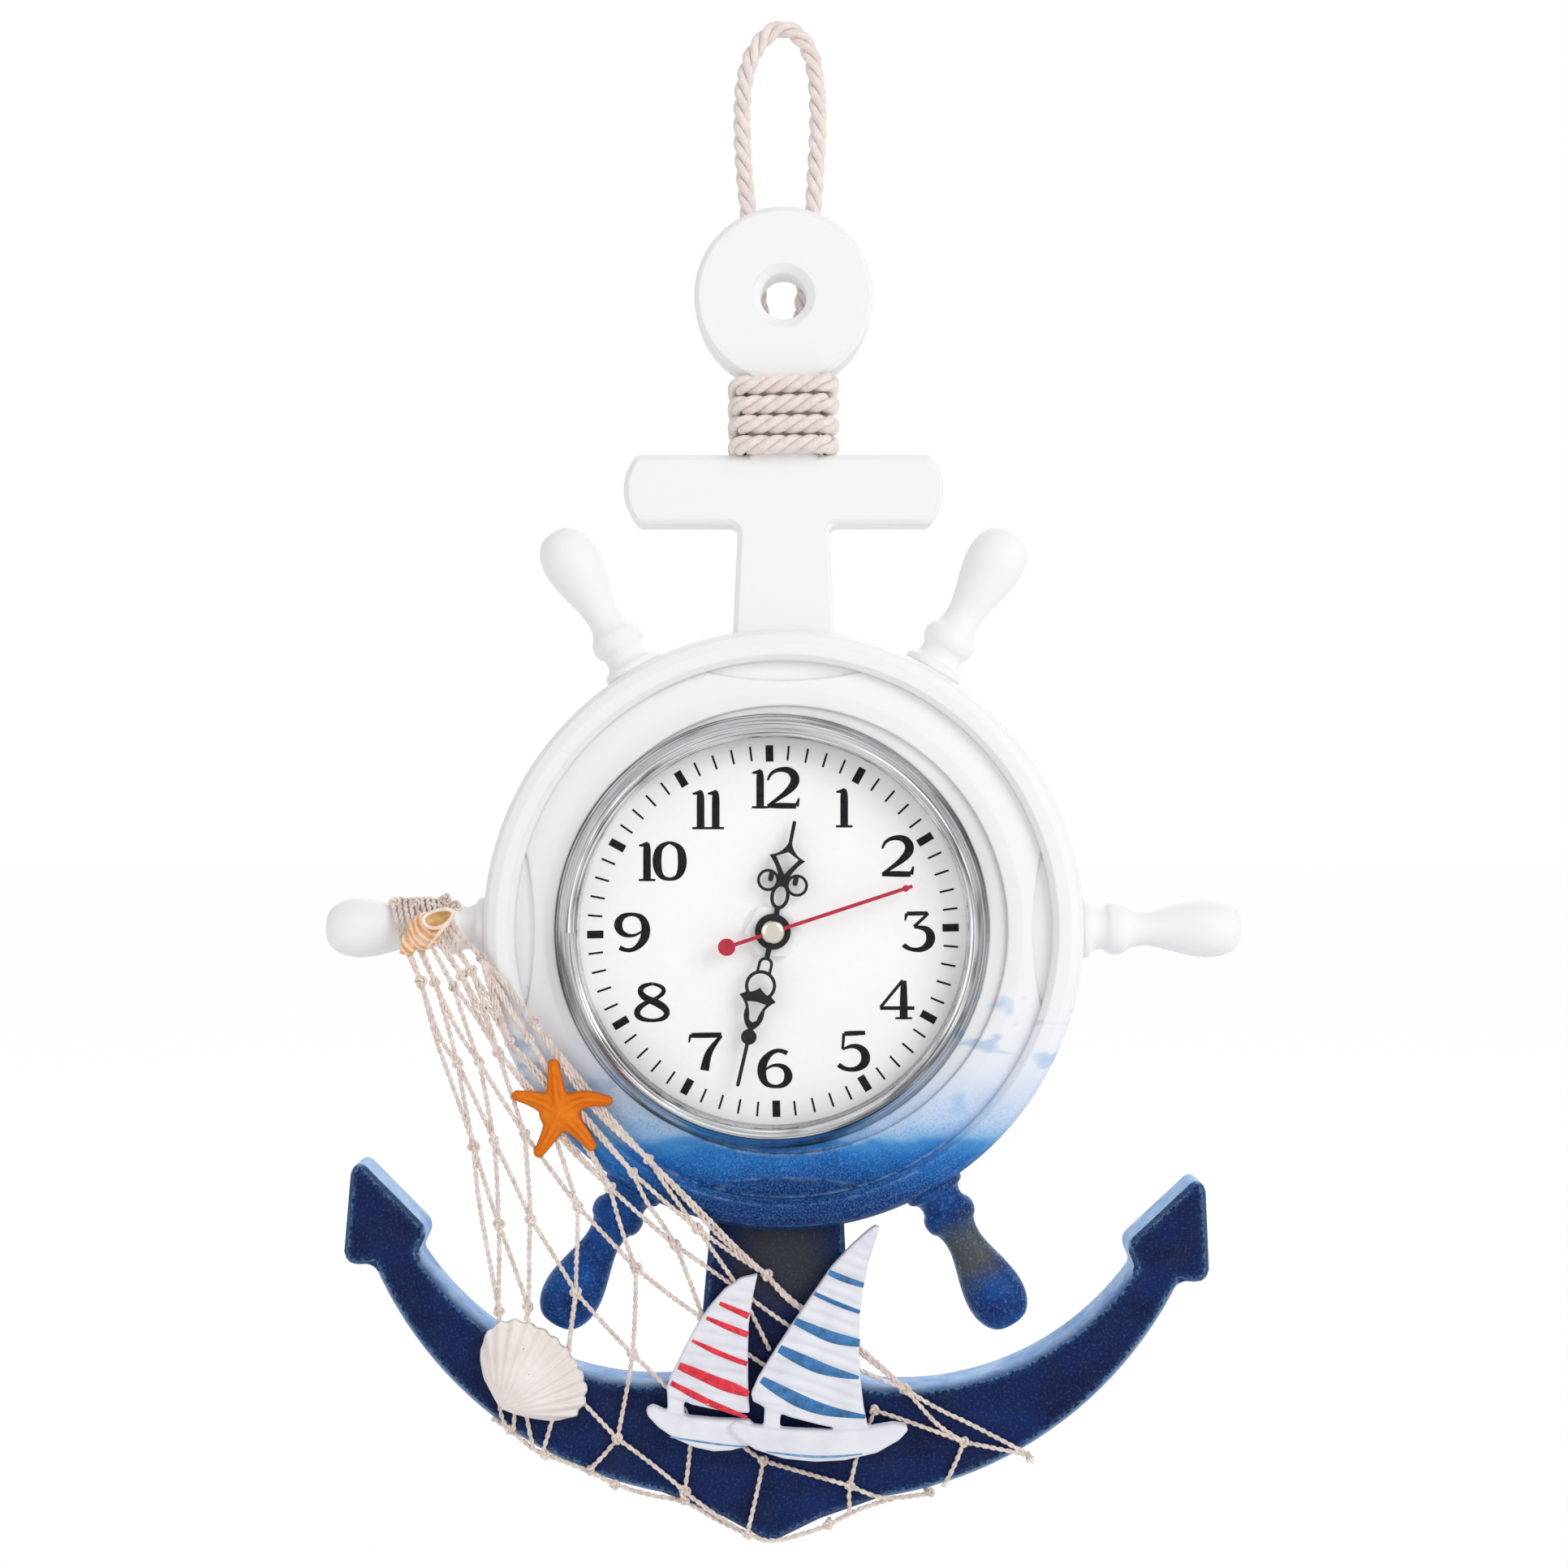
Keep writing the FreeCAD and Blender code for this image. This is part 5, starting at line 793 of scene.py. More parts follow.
# Pen strokes of each numeral: across, up and half the pen's width, in shares of the numeral's height
numerals = {
    "0": (
        [(0.0, 0.97, fine), (-0.18, 0.9, 0.06), (-0.26, 0.66, heavy), (-0.26, 0.34, heavy),
         (-0.18, 0.1, 0.06), (0.0, 0.03, fine), (0.18, 0.1, 0.06), (0.26, 0.34, heavy), (0.26, 0.66, heavy),
         (0.18, 0.9, 0.06), (0.0, 0.97, fine)],
    ),
    "1": (
        [(0.02, 0.96, 0.05), (0.03, 0.88, 0.085), (0.03, 0.5, 0.085), (0.03, 0.04, 0.085)],
        [(0.05, 0.93, 0.06), (-0.05, 0.9, 0.04), (-0.16, 0.89, 0.02)],
        [(-0.17, 0.026, 0.024), (0.03, 0.03, 0.034), (0.23, 0.026, 0.024)],
    ),
    "2": (
        [(-0.32, 0.7, 0.022), (-0.28, 0.86, 0.036), (-0.08, 0.98, 0.045), (0.18, 0.97, 0.075),
         (0.32, 0.8, heavy), (0.3, 0.6, heavy), (0.1, 0.38, 0.065), (-0.14, 0.2, 0.04), (-0.32, 0.06, 0.034)],
        [(-0.33, 0.06, 0.045), (-0.12, 0.07, 0.066), (0.16, 0.065, 0.066), (0.34, 0.06, 0.06)],
        [(0.34, 0.06, 0.055), (0.38, 0.14, 0.034), (0.4, 0.26, 0.018)],
    ),
    "3": (
        [(-0.29, 0.76, 0.018), (-0.27, 0.88, 0.03), (-0.25, 0.94, 0.045)],
        [(-0.25, 0.94, 0.045), (0.0, 0.94, 0.052), (0.25, 0.95, 0.04)],
        [(0.26, 0.95, 0.034), (0.1, 0.78, 0.036), (-0.08, 0.61, 0.036)],
        [(-0.08, 0.6, 0.026), (0.16, 0.6, 0.055), (0.32, 0.44, heavy), (0.31, 0.2, heavy),
         (0.12, 0.03, 0.06), (-0.14, 0.03, 0.04), (-0.31, 0.13, 0.058), (-0.33, 0.16, 0.05)],
    ),
    "4": (
        [(0.13, 0.98, 0.035), (-0.12, 0.64, 0.036), (-0.37, 0.3, 0.034)],
        [(-0.38, 0.28, 0.04), (0.0, 0.28, 0.044), (0.39, 0.28, 0.04)],
        [(0.15, 0.97, 0.06), (0.15, 0.5, 0.085), (0.15, 0.04, 0.085)],
        [(-0.04, 0.026, 0.022), (0.15, 0.03, 0.032), (0.34, 0.026, 0.022)],
    ),
    "5": (
        [(-0.2, 0.93, 0.05), (0.04, 0.94, 0.062), (0.3, 0.95, 0.045)],
        [(-0.21, 0.94, 0.036), (-0.225, 0.74, 0.032), (-0.24, 0.54, 0.03)],
        [(-0.24, 0.53, 0.022), (-0.07, 0.63, 0.04), (0.17, 0.6, 0.068), (0.32, 0.42, heavy),
         (0.3, 0.18, heavy), (0.1, 0.03, 0.056), (-0.16, 0.03, 0.044), (-0.32, 0.13, 0.06),
         (-0.34, 0.15, 0.05)],
    ),
    "6": (
        [(0.27, 0.88, 0.055), (0.13, 0.97, 0.042), (-0.09, 0.91, 0.055), (-0.28, 0.66, heavy),
         (-0.31, 0.36, heavy), (-0.22, 0.11, 0.066), (0.0, 0.03, fine), (0.22, 0.09, 0.066),
         (0.32, 0.3, heavy), (0.24, 0.52, 0.07), (0.04, 0.6, 0.038), (-0.15, 0.54, 0.026),
         (-0.26, 0.42, 0.02)],
    ),
    "7": (
        [(-0.31, 0.92, 0.055), (0.0, 0.92, 0.066), (0.33, 0.93, 0.055)],
        [(-0.32, 0.94, 0.036), (-0.35, 0.84, 0.028), (-0.36, 0.74, 0.016)],
        [(0.33, 0.91, 0.034), (0.14, 0.66, 0.06), (0.01, 0.36, 0.088), (-0.03, 0.04, heavy)],
    ),
    "8": (
        [(0.0, 0.97, fine), (-0.2, 0.93, 0.055), (-0.26, 0.76, 0.066), (-0.14, 0.6, 0.074),
         (0.12, 0.48, 0.088), (0.31, 0.3, 0.074), (0.26, 0.1, 0.055), (0.0, 0.03, fine), (-0.27, 0.1, 0.06),
         (-0.33, 0.28, 0.072), (-0.19, 0.46, 0.055), (0.09, 0.6, 0.04), (0.25, 0.76, 0.052),
         (0.19, 0.92, 0.044), (0.0, 0.97, fine)],
    ),
}
numerals["9"] = tuple([(-across, 1 - up, pen) for across, up, pen in stroke] for stroke in numerals["6"])


def penPiece(name, strokes, depth, thickness):  # strokes are lists of (across, up, half width) in millimetres
    lines = []
    widths = []
    for stroke in strokes:
        line = smoothLine([Vector((across, pen, up)) * mm for across, up, pen in stroke], 6)
        widths.append([max(point.y, 0.01 * mm) for point in line])
        lines.append([Vector((point.x, 0, point.z)) for point in line])
    mesh = tubes(name, lines, 1.0, 3, radii=widths)
    return flatten(blankObject(name, mesh), depth, thickness)


def dialStrokes():
    strokes = []
    height = dialPrint["numeralHeight"]
    pens = height * dialPrint["weight"]
    for hour, middle in enumerate(numeralPlaces, 1):
        digits = str(hour)
        spread = digitSpread.get(digits, 0.0)
        for index, digit in enumerate(digits):
            left = insert["across"] + middle[0] + (index - (len(digits) - 1) / 2) * spread * height
            low = insert["up"] + middle[1] - height / 2
            wide = height * digitWidth[digit]
            for stroke in numerals[digit]:
                strokes.append([(left + x * wide, low + z * height, pen * pens) for x, z, pen in stroke])
    return strokes


def makeTicks():
    form = bmesh.new()
    depth = dialPrint["front"] + dialPrint["tickLift"]
    middle = Matrix.Translation(onFront(insert["across"], depth, insert["up"]))
    for minute in range(60):
        long, wide = dialPrint["block"] if minute % 5 == 0 else dialPrint["line"]
        tick = bmesh.ops.create_cube(form, size=1.0)["verts"]
        size = Matrix.Diagonal((wide * mm, dialPrint["ink"] * mm, long * mm, 1))
        out = Matrix.Translation((0, 0, (dialPrint["tickOut"] - long / 2) * mm))
        turn = Matrix.Rotation(math.radians(6 * minute - dialPrint["turn"]), 4, "Y")
        bmesh.ops.transform(form, matrix=middle @ turn @ out @ size, verts=tick)
    return fromBmesh("dialTicks", form, False)


inkFinish, inkTree, inkShader = startFinish("dialInk", ink(22, 22, 24), 0.6, Specular_IOR_Level=0.1)
inkStops = ((0.3, ink(18, 18, 20)), (0.7, ink(28, 28, 31)))
steer(inkTree, inkShader, "Base Color", grain(inkTree, 500, 2, 0.5), inkStops)
numeralDepth = dialPrint["front"] + dialPrint["numeralLift"]
numeralPiece = penPiece("dialNumerals", dialStrokes(), numeralDepth, dialPrint["numeralThick"])
finishPiece(numeralPiece, inkFinish, "root")
finishPiece(makeTicks(), inkFinish, "root")

cap = {
    "profile": ((0.0, 22.2), (2.6, 22.2), (2.65, 22.6), (2.2, 23.1), (1.2, 23.35), (0.0, 23.3)),
    "sink": 0.06,
    "sides": 48,
}
capSteps = [(radius, height - cap["sink"]) for radius, height in rounded(cap["profile"])]
capPiece = lathe("silverCap", capSteps, cap["sides"], insertPlace, closed=False)
capFinish, capTree, capShader = startFinish("warmSilver", ink(214, 208, 196), 0.14, 1.0)
steer(capTree, capShader, "Roughness", grain(capTree, 1200, 2, 0.5), ((0.3, 0.1), (0.7, 0.22)))
finishPiece(capPiece, capFinish, "second", ("hand_cap",))
print("insert dressed")

# net of knotted twine

net = {
    "ply": 0.32,
    "twist": 0.29,
    "lay": 3.6,
    "step": 0.8,
    "twine": 1.2,
    "sideBySide": 1.25,  # between twines that share a run
    "wander": 0.3,
    "lift": 0.2,
    "depth": 16.0,  # where a knot's depth is first sought
    "boardsFrom": (-36.0, 8.0),  # how far across the boards take over from the handle, and over what width
    "knot": 0.72,
    "knotSpread": (0.92, 1.15),
    "knotTwine": 0.38,
    "knotPoints": 30,
    "seed": 11,
}
# The twines gathered over the left handle, which wind round its middle line
head = {
    "row": 1150,
    "rowDepth": 17.0,
    "middle": 10.0,
    "reach": 6.5,
    "slant": (0.22, 0.42),
    "wide": 64,  # pixels from the first twine to the last
    "leanFrom": 95,  # degrees, below which a twine leans to the right
    "lean": 0.7,
    "turn": (215, 180, 150, 120, 95, 70, 45),  # degrees on the way round the handle
    "top": 2.0,
    "shares": (0.2, 0.45, 0.75, 1.0),  # on the way down to the knot
    "loose": (-0.1, 0.4),
    "knots": ((486, 1113), (513, 1116), (532, 1119), (549, 1108), (561, 1117)),
    "knotDepth": 13.5,
    "knot": 0.8,
}
# The net's lower edge, along the front of the arms and round to their back
hem = {
    "pixelDepth": 12.5,
    "depth": 12.6,
    "weave": 0.8,
    # share of the wander, depth, and how far up, on the way to the back
    "round": ((0.0, 13.0, 0.0), (0.3, 11.6, -0.7), (1.0, 5.0, -0.6)),
    "wander": 1.5,
    "knotUp": 0.2,
    "knot": 0.62,
}
tuft = {
    "root": (1263, 1791),
    "depth": 13.0,
    "threads": 18,
    "thread": 0.14,
    "reach": (1.1, 2.1),
    "fall": 0.4,
}
# Knots, at their places in the photograph's own frame
netKnots = {
    "a1": (518, 1210), "a2": (535, 1210), "a3": (558, 1215), "a4": (568, 1202), "a5": (580, 1196),
    "a6": (593, 1181), "b1": (563, 1310), "b2": (590, 1309), "b3": (613, 1297), "b4": (627, 1284),
    "b5": (651, 1280), "b6": (659, 1262), "c1": (583, 1412), "c2": (608, 1406), "c3": (646, 1398),
    "t1": (751, 1463), "t2": (779, 1445), "t3": (798, 1428), "d1": (614, 1509), "d2": (653, 1502),
    "d3": (711, 1486), "d4": (783, 1563), "d5": (832, 1535), "d6": (859, 1514), "d7": (944, 1571),
    "e1": (614, 1616), "e2": (650, 1611), "e3": (709, 1593), "e4": (779, 1669), "e5": (866, 1625),
    "f1": (760, 1773), "f2": (843, 1838), "f3": (940, 1800), "f4": (1047, 1831), "j1": (1115, 1712),
    "j2": (1077, 1738), "j3": (1187, 1777),
}
# Twines from knot to knot, with places on the way; a number at the end gives how many lie side by side
netTwines = (
    ("a1", (535, 1280), (552, 1322), "c1"), ("a1", (530, 1250), (547, 1290), "b1"), ("a2", (547, 1240), "b1"),
    ("a2", (556, 1255), (575, 1290), "b2"), ("a3", (572, 1262), "b2"), ("a3", (582, 1243), "b3"),
    ("a4", "b3", 2), ("a5", (598, 1240), "b3"), ("a5", "b4", 2), ("a6", (618, 1230), "b5", 2),
    ("a6", (632, 1222), "b6", 2), ("a6", (606, 1222), "b4", 2), ("b1", (571, 1355), "c1"),
    ("b1", (584, 1355), "c2"), ("b2", (600, 1355), "c2"), ("b2", (611, 1347), "c3"),
    ("b3", (628, 1340), "c3"), ("b3", (644, 1332), (680, 1385), (716, 1430), "t1", 2),
    ("b4", (662, 1322), (700, 1370), "t1", 2), ("b5", (680, 1330), (725, 1385), "t2", 2),
    ("b6", (700, 1320), (745, 1380), "t3", 3), ("b5", (672, 1312), (712, 1368), "t2"),
    ("c1", (586, 1455), (598, 1530), (608, 1590), "e1"), ("c1", (598, 1460), "d1"), ("c2", "d1"),
    ("c2", (632, 1456), "d2"), ("c3", "d2"), ("c3", (680, 1444), "d3"), ("d3", (698, 1445), (684, 1402)),
    ("t1", (766, 1520), "d4"), ("t1", (792, 1502), "d5"), ("t2", (795, 1482), (812, 1503), "d5"),
    ("t2", (828, 1490), "d6"), ("t3", (832, 1482), "d6"), ("t3", (862, 1494), (900, 1535), "d7", 2),
    ("d1", "e1"), ("d1", (634, 1565), "e2"), ("d2", "e2"), ("d2", (684, 1552), "e3"), ("d3", "e3"),
    ("d3", (750, 1528), "d4"), ("d4", (784, 1615), "e4"), ("d4", (828, 1600), "e5"),
    ("d5", (851, 1582), "e5"), ("d5", (872, 1562), (902, 1584), (972, 1636), (1012, 1660)),
    ("d6", (884, 1552), (912, 1592), (948, 1664)), ("d6", (902, 1546), "d7"),
    ("d7", (966, 1597), (992, 1616), (1030, 1645), (1062, 1664), "j1", 2), ("e3", (702, 1640), (700, 1680)),
    ("e3", (746, 1636), "e4"), ("e4", (772, 1710), "f1"), ("e4", (808, 1696), (850, 1740), (851, 1786), "f2"),
    ("e5", (890, 1650), (944, 1684)), ("f1", (718, 1729), (690, 1700)), ("f1", (746, 1790), (726, 1811)),
    ("f1", (802, 1801), "f2"), ("f2", (872, 1862), (918, 1891)), ("f3", (932, 1850), (920, 1890)),
    ("f3", (900, 1772)), ("f3", (990, 1815), "f4"), ("f4", (1056, 1792), (1070, 1760), "j2"),
    ("f4", (1046, 1865)), ("f4", (1072, 1843), (1100, 1848), (1146, 1840)),
    ("j1", (1150, 1735), (1200, 1756), (1262, 1790)), ("j1", (1136, 1737), (1158, 1761), "j3"),
    ("j2", (1120, 1752), "j3"), ("j3", (1262, 1792)), ("j3", (1176, 1806), (1162, 1832)),
    ("j1", (1062, 1690), (1040, 1680)), ("e1", (620, 1690), (612, 1738), (622, 1757)),
    ("e2", (636, 1700), (633, 1740), (632, 1764)), ("e2", (646, 1720), (649, 1750), (656, 1784)),
    ("e3", (700, 1680), (678, 1752), (668, 1790)),
)
# Places along the arms' lower edge, and those where the net goes round to the back
netHem = (
    (606, 1748), (627, 1762), (655, 1786), (672, 1794), (726, 1813), (757, 1831), (800, 1843), (843, 1850),
    (880, 1872), (921, 1892), (950, 1902), (1000, 1888), (1020, 1880), (1046, 1866), (1080, 1852),
    (1100, 1848),
)
netTurns = (
    (627, 1762), (671, 1794), (726, 1813), (757, 1831), (843, 1850), (921, 1892), (1020, 1880), (1146, 1840),
)
netHead = (
    (480, "a1"), (487, "a1"), (494, "a2"), (501, "a2"), (508, "a3"), (515, "a4"), (522, "a4"), (529, "a5"),
    (536, "a5"), (540, "a6"), (544, "a6"),
)
# Up and how deep the net's back lies there, over the handle and ring and over the boards, in millimetres
netOverHandle = (
    (-145.0, 12.4), (-104.0, 12.4), (-87.7, 17.2), (-66.6, 20.4), (-6.8, 20.4), (2.8, 16.8), (6.8, 12.8)
)
netOverBoards = ((-145.0, 12.4), (-78.2, 12.4), (-66.6, 20.4), (-6.8, 20.4), (6.8, 12.8))


def netDepth(across, up):
    start, width = net["boardsFrom"]
    overBoards = min(max((across - start) / width, 0.0), 1.0)
    depth = readOff(netOverHandle, up) * (1 - overBoards) + readOff(netOverBoards, up) * overBoards
    return depth + net["twine"] / 2


def pixelPlace(across, up, depth):  # a place in the photograph's own frame, set on a plane this deep
    scale = view["pixel"] * (view["distance"] - depth) / view["pixelAt"]
    middleAcross, middleUp = view["middle"]
    return (across - middleAcross) * scale + view["across"], view["up"] - (up - middleUp) * scale


def netPlace(spot):
    across, up = netKnots[spot] if isinstance(spot, str) else spot
    place = pixelPlace(across, up, net["depth"])
    for _ in range(2):
        place = pixelPlace(across, up, netDepth(*place))
    return place


def twinePlies(points, turn):  # two plies twisted along a loose run
    line = evenly(smoothLine(points, 8), net["step"] * mm)
    return plies(line, 2, net["twist"] * mm, net["lay"] * mm, turn)


def looseRun(places, bow, draw):  # a run that lies on what is behind it and wanders a little
    if len(places) == 2:
        (x0, z0), (x1, z1) = places
        places = [places[0]] + [(x0 + (x1 - x0) * s, z0 + (z1 - z0) * s) for s in (0.35, 0.65)] + [places[1]]
    run = []
    for index, (x, z) in enumerate(places):
        if 0 < index < len(places) - 1:
            x += bow + draw.uniform(-net["wander"], net["wander"])
        run.append(onFront(x, netDepth(x, z) + draw.uniform(0, net["lift"]), z))
    return run


def knotLoop(middle, size, draw):  # a tight trefoil, which reads as a tied knot
    turn = Matrix.Rotation(draw.uniform(0, math.tau), 3, "Y")
    turn = turn @ Matrix.Rotation(draw.uniform(-0.5, 0.5), 3, "X")
    loop = []
    for index in range(net["knotPoints"]):
        angle = math.tau * index / net["knotPoints"]
        reach = 1.0 + 0.48 * math.cos(3 * angle)
        point = Vector((reach * math.cos(2 * angle), 0.62 * math.sin(3 * angle), reach * math.sin(2 * angle)))
        loop.append(middle + turn @ (point * size * mm))
    return loop


def netRuns(draw):  # the plies of the twines from knot to knot
    strands = []
    for entry in netTwines:
        count = entry[-1] if isinstance(entry[-1], int) else 1
        places = [netPlace(spot) for spot in entry if not isinstance(spot, int)]
        for number in range(count):
            bow = (number - (count - 1) / 2) * net["sideBySide"]
            strands += twinePlies(looseRun(places, bow, draw), draw.uniform(0, math.tau))
    return strands


def headRuns(draw):
    strands = []
    firstSlant, lastSlant = head["slant"]
    for pixel, knot in netHead:
        across = pixelPlace(pixel, head["row"], head["rowDepth"])[0]
        slant = firstSlant + (lastSlant - firstSlant) * (pixel - netHead[0][0]) / head["wide"]
        endAcross, endUp = netPlace(knot)
        reach = head["reach"] + draw.uniform(*head["loose"])
        run = []
        for degrees in head["turn"]:
            angle = math.radians(degrees)
            lean = slant * (reach - reach * math.sin(angle)) if degrees < head["leanFrom"] else 0.0
            depth = head["middle"] + reach * math.cos(angle)
            run.append(onFront(across + lean, depth, reach * math.sin(angle)))
        across += slant * reach * head["lean"]
        for part in head["shares"]:
            up = head["top"] + (endUp - head["top"]) * part
            x = across + (endAcross - across) * part
            run.append(onFront(x, netDepth(x, up) + draw.uniform(*head["loose"]) * (1 - part), up))
        strands += twinePlies(run, draw.uniform(0, math.tau))
    return strands


def hemRuns(draw):
    edge = [pixelPlace(across, up, hem["pixelDepth"]) for across, up in netHem]
    run = [onFront(x, hem["depth"] - hem["weave"] * (index % 2), z) for index, (x, z) in enumerate(edge)]
    strands = twinePlies(run, 0.0)
    for across, up in netTurns:  # round the arm's lower edge
        x, z = pixelPlace(across, up, hem["pixelDepth"])
        back = draw.uniform(-hem["wander"], hem["wander"])
        run = [onFront(x + back * part, depth, z + rise) for part, depth, rise in hem["round"]]
        strands += twinePlies(run, draw.uniform(0, math.tau))
    return strands


def netLoops(draw):  # all the knots
    loops = []
    for name in netKnots:
        across, up = netPlace(name)
        middle = onFront(across, netDepth(across, up), up)
        loops.append(knotLoop(middle, net["knot"] * draw.uniform(*net["knotSpread"]), draw))
    for pixel, height in head["knots"]:
        across, up = pixelPlace(pixel, height, head["knotDepth"])
        loops.append(knotLoop(onFront(across, head["knotDepth"], up), head["knot"], draw))
    for pixel, height in netTurns:
        across, up = pixelPlace(pixel, height, hem["pixelDepth"])
        loops.append(knotLoop(onFront(across, hem["depth"], up + hem["knotUp"]), hem["knot"], draw))
    return loops


def tuftThreads(draw):  # the frayed tuft at the net's right end
    across, up = pixelPlace(*tuft["root"], tuft["depth"])
    near, far = tuft["reach"]
    threads = []
    for _ in range(tuft["threads"]):
        lean = Vector((draw.uniform(0.1, 1.0), draw.uniform(-0.4, 0.4), draw.uniform(-1.0, 0.4)))
        base = onFront(across, tuft["depth"], up)
        tip = base + lean * far * mm + Vector((0, 0, -tuft["fall"])) * mm
        threads.append([base, base + lean * near * mm, tip])
    return threads


def makeNet():
    draw = random.Random(net["seed"])
    strands = netRuns(draw) + headRuns(draw) + hemRuns(draw)
    netPiece = blankObject("netTwines", tubes("netTwines", strands, net["ply"] * mm, 1))
    finishPiece(netPiece, twineFinish, "root", ("net",))
    knots = tubes("netKnots", netLoops(draw), net["knotTwine"] * mm, 1, closed=True)
    finishPiece(blankObject("netKnots", knots), twineFinish, "root")
    threads = tubes("netTuft", tuftThreads(draw), tuft["thread"] * mm, 1)
    finishPiece(blankObject("netTuft", threads), twineFinish, "root")


makeNet()
print("net knotted")

# starfish

starfish = {
    "middle": (-50.2, 22.3, -40.6),
    # bearing in degrees, length and bend of each arm
    "arms": (
        (97.0, 12.1, 0.2), (13.0, 12.3, 1.5), (-46.9, 11.65, 0.3), (-117.0, 11.5, 0.3), (159.0, 11.5, -0.6),
    ),
    "body": 4.7,
    "root": 3.2,
    "tip": 1.3,
    "steps": 15,
    "taper": 0.8,
    "ridge": 0.34,  # its radius and how far it stands out, in shares of the arm's radius
    "ridgeOut": 0.6,
    "flat": 0.45,  # how far the glued back lies behind the middle
    "voxel": 0.3,
}


def starArm(form, middle, degrees, length, arch):
    turn = Matrix.Rotation(-math.radians(degrees), 4, "Y")
    pressed = Matrix.Diagonal((1, 0.62, 1, 1))
    reach = length - starfish["tip"]
    for step in range(starfish["steps"]):
        part = step / (starfish["steps"] - 1)
        radius = starfish["root"] + (starfish["tip"] - starfish["root"]) * part ** starfish["taper"]
        bend = arch * math.sin(math.pi * part)
        out = middle @ turn @ Matrix.Translation((reach * part * mm, 0, bend * mm))
        ball = bmesh.ops.create_uvsphere(form, u_segments=16, v_segments=10, radius=radius * mm)["verts"]
        bmesh.ops.transform(form, matrix=out @ pressed, verts=ball)
        small = radius * starfish["ridge"] * mm
        ridge = bmesh.ops.create_uvsphere(form, u_segments=12, v_segments=8, radius=small)["verts"]
        lift = Matrix.Translation((0, -radius * starfish["ridgeOut"] * mm, 0))
        bmesh.ops.transform(form, matrix=out @ lift, verts=ridge)


def makeStarfish():
    form = bmesh.new()
    depth = starfish["middle"][1]
    middle = Matrix.Translation(onFront(*starfish["middle"]))
    radius = starfish["body"] * mm
    body = bmesh.ops.create_uvsphere(form, u_segments=24, v_segments=16, radius=radius)["verts"]
    bmesh.ops.transform(form, matrix=middle @ Matrix.Diagonal((1, 0.5, 1, 1)), verts=body)
    for arm in starfish["arms"]:
        starArm(form, middle, *arm)
    piece = fromBmesh("starfish", form)
    fuse(piece, starfish["voxel"], smooth=True)
    shape = bmesh.new()
    shape.from_mesh(piece.data)
    soften(shape)
    back = -(depth - starfish["flat"]) * mm
    for vertex in shape.verts:  # flat where it is glued on
        vertex.co.y = min(vertex.co.y, back)
    shape.to_mesh(piece.data)
    shape.free()
    shadeSmooth(piece.data)
    return piece


def starFinish():
    material, tree, shader = startFinish("driedStarfish", ink(238, 130, 22), 0.62, Specular_IOR_Level=0.2)
    stops = ((0.3, ink(222, 106, 6)), (0.6, ink(234, 126, 16)), (0.8, ink(242, 146, 40)))
    tone = ramp(tree, (grain(tree, 160, 4, 0.6), "Fac"), stops)
    # painted shade: darker orange on the flanks, which turn away from the front
    facing = maths(tree, "ABSOLUTE", (axesOf(tree, "Normal"), "Y"))
    paintedFlankShade = ramp(tree, (facing, 0), ((0.45, 0.9), (0.92, 0.0)))
    shaded = mixed(tree, (paintedFlankShade, "Color"), (tone, "Color"), ink(190, 88, 10))
    wire(tree, (shaded, 2), (shader, "Base Color"))
    cells = node(tree, "TexVoronoi", {"Scale": 1250.0})
    wire(tree, (place(tree), "Vector"), (cells, "Vector"))
    pores = ramp(tree, (cells, "Distance"), ((0.0, 1.0), (0.7, 0.0)))
    bumped(tree, shader, (pores, "Color"), 0.45, 0.25)
    return material


finishPiece(makeStarfish(), starFinish(), "root", ("starfish",))

# scallop

scallop = {
    "umbo": (-64.4, -108.0),
    "base": (16.3, -100.0, 0.2),  # depth, at what height, and how fast it leans out upwards
    "sink": 1.2,
    "height": 6.0,
    "ribs": 15,
    "ribHeight": 0.36,
    "ribReach": 0.016,
    "growth": 0.1,
    "growthLines": 46,
    # bearing in degrees and reach in millimetres from the umbo
    "reach": (
        (-24, 5.5), (-19, 9.5), (-13, 14.2), (-6.7, 17.3), (4, 19.4), (14, 20.1), (30, 20.0),
        (48, 20.2), (66, 20.4), (80, 20.3), (92, 19.0), (102, 16.2), (112, 11.6), (119, 7.0),
    ),
    "shell": 0.8,
    "around": 180,
    "outwards": 36,
}


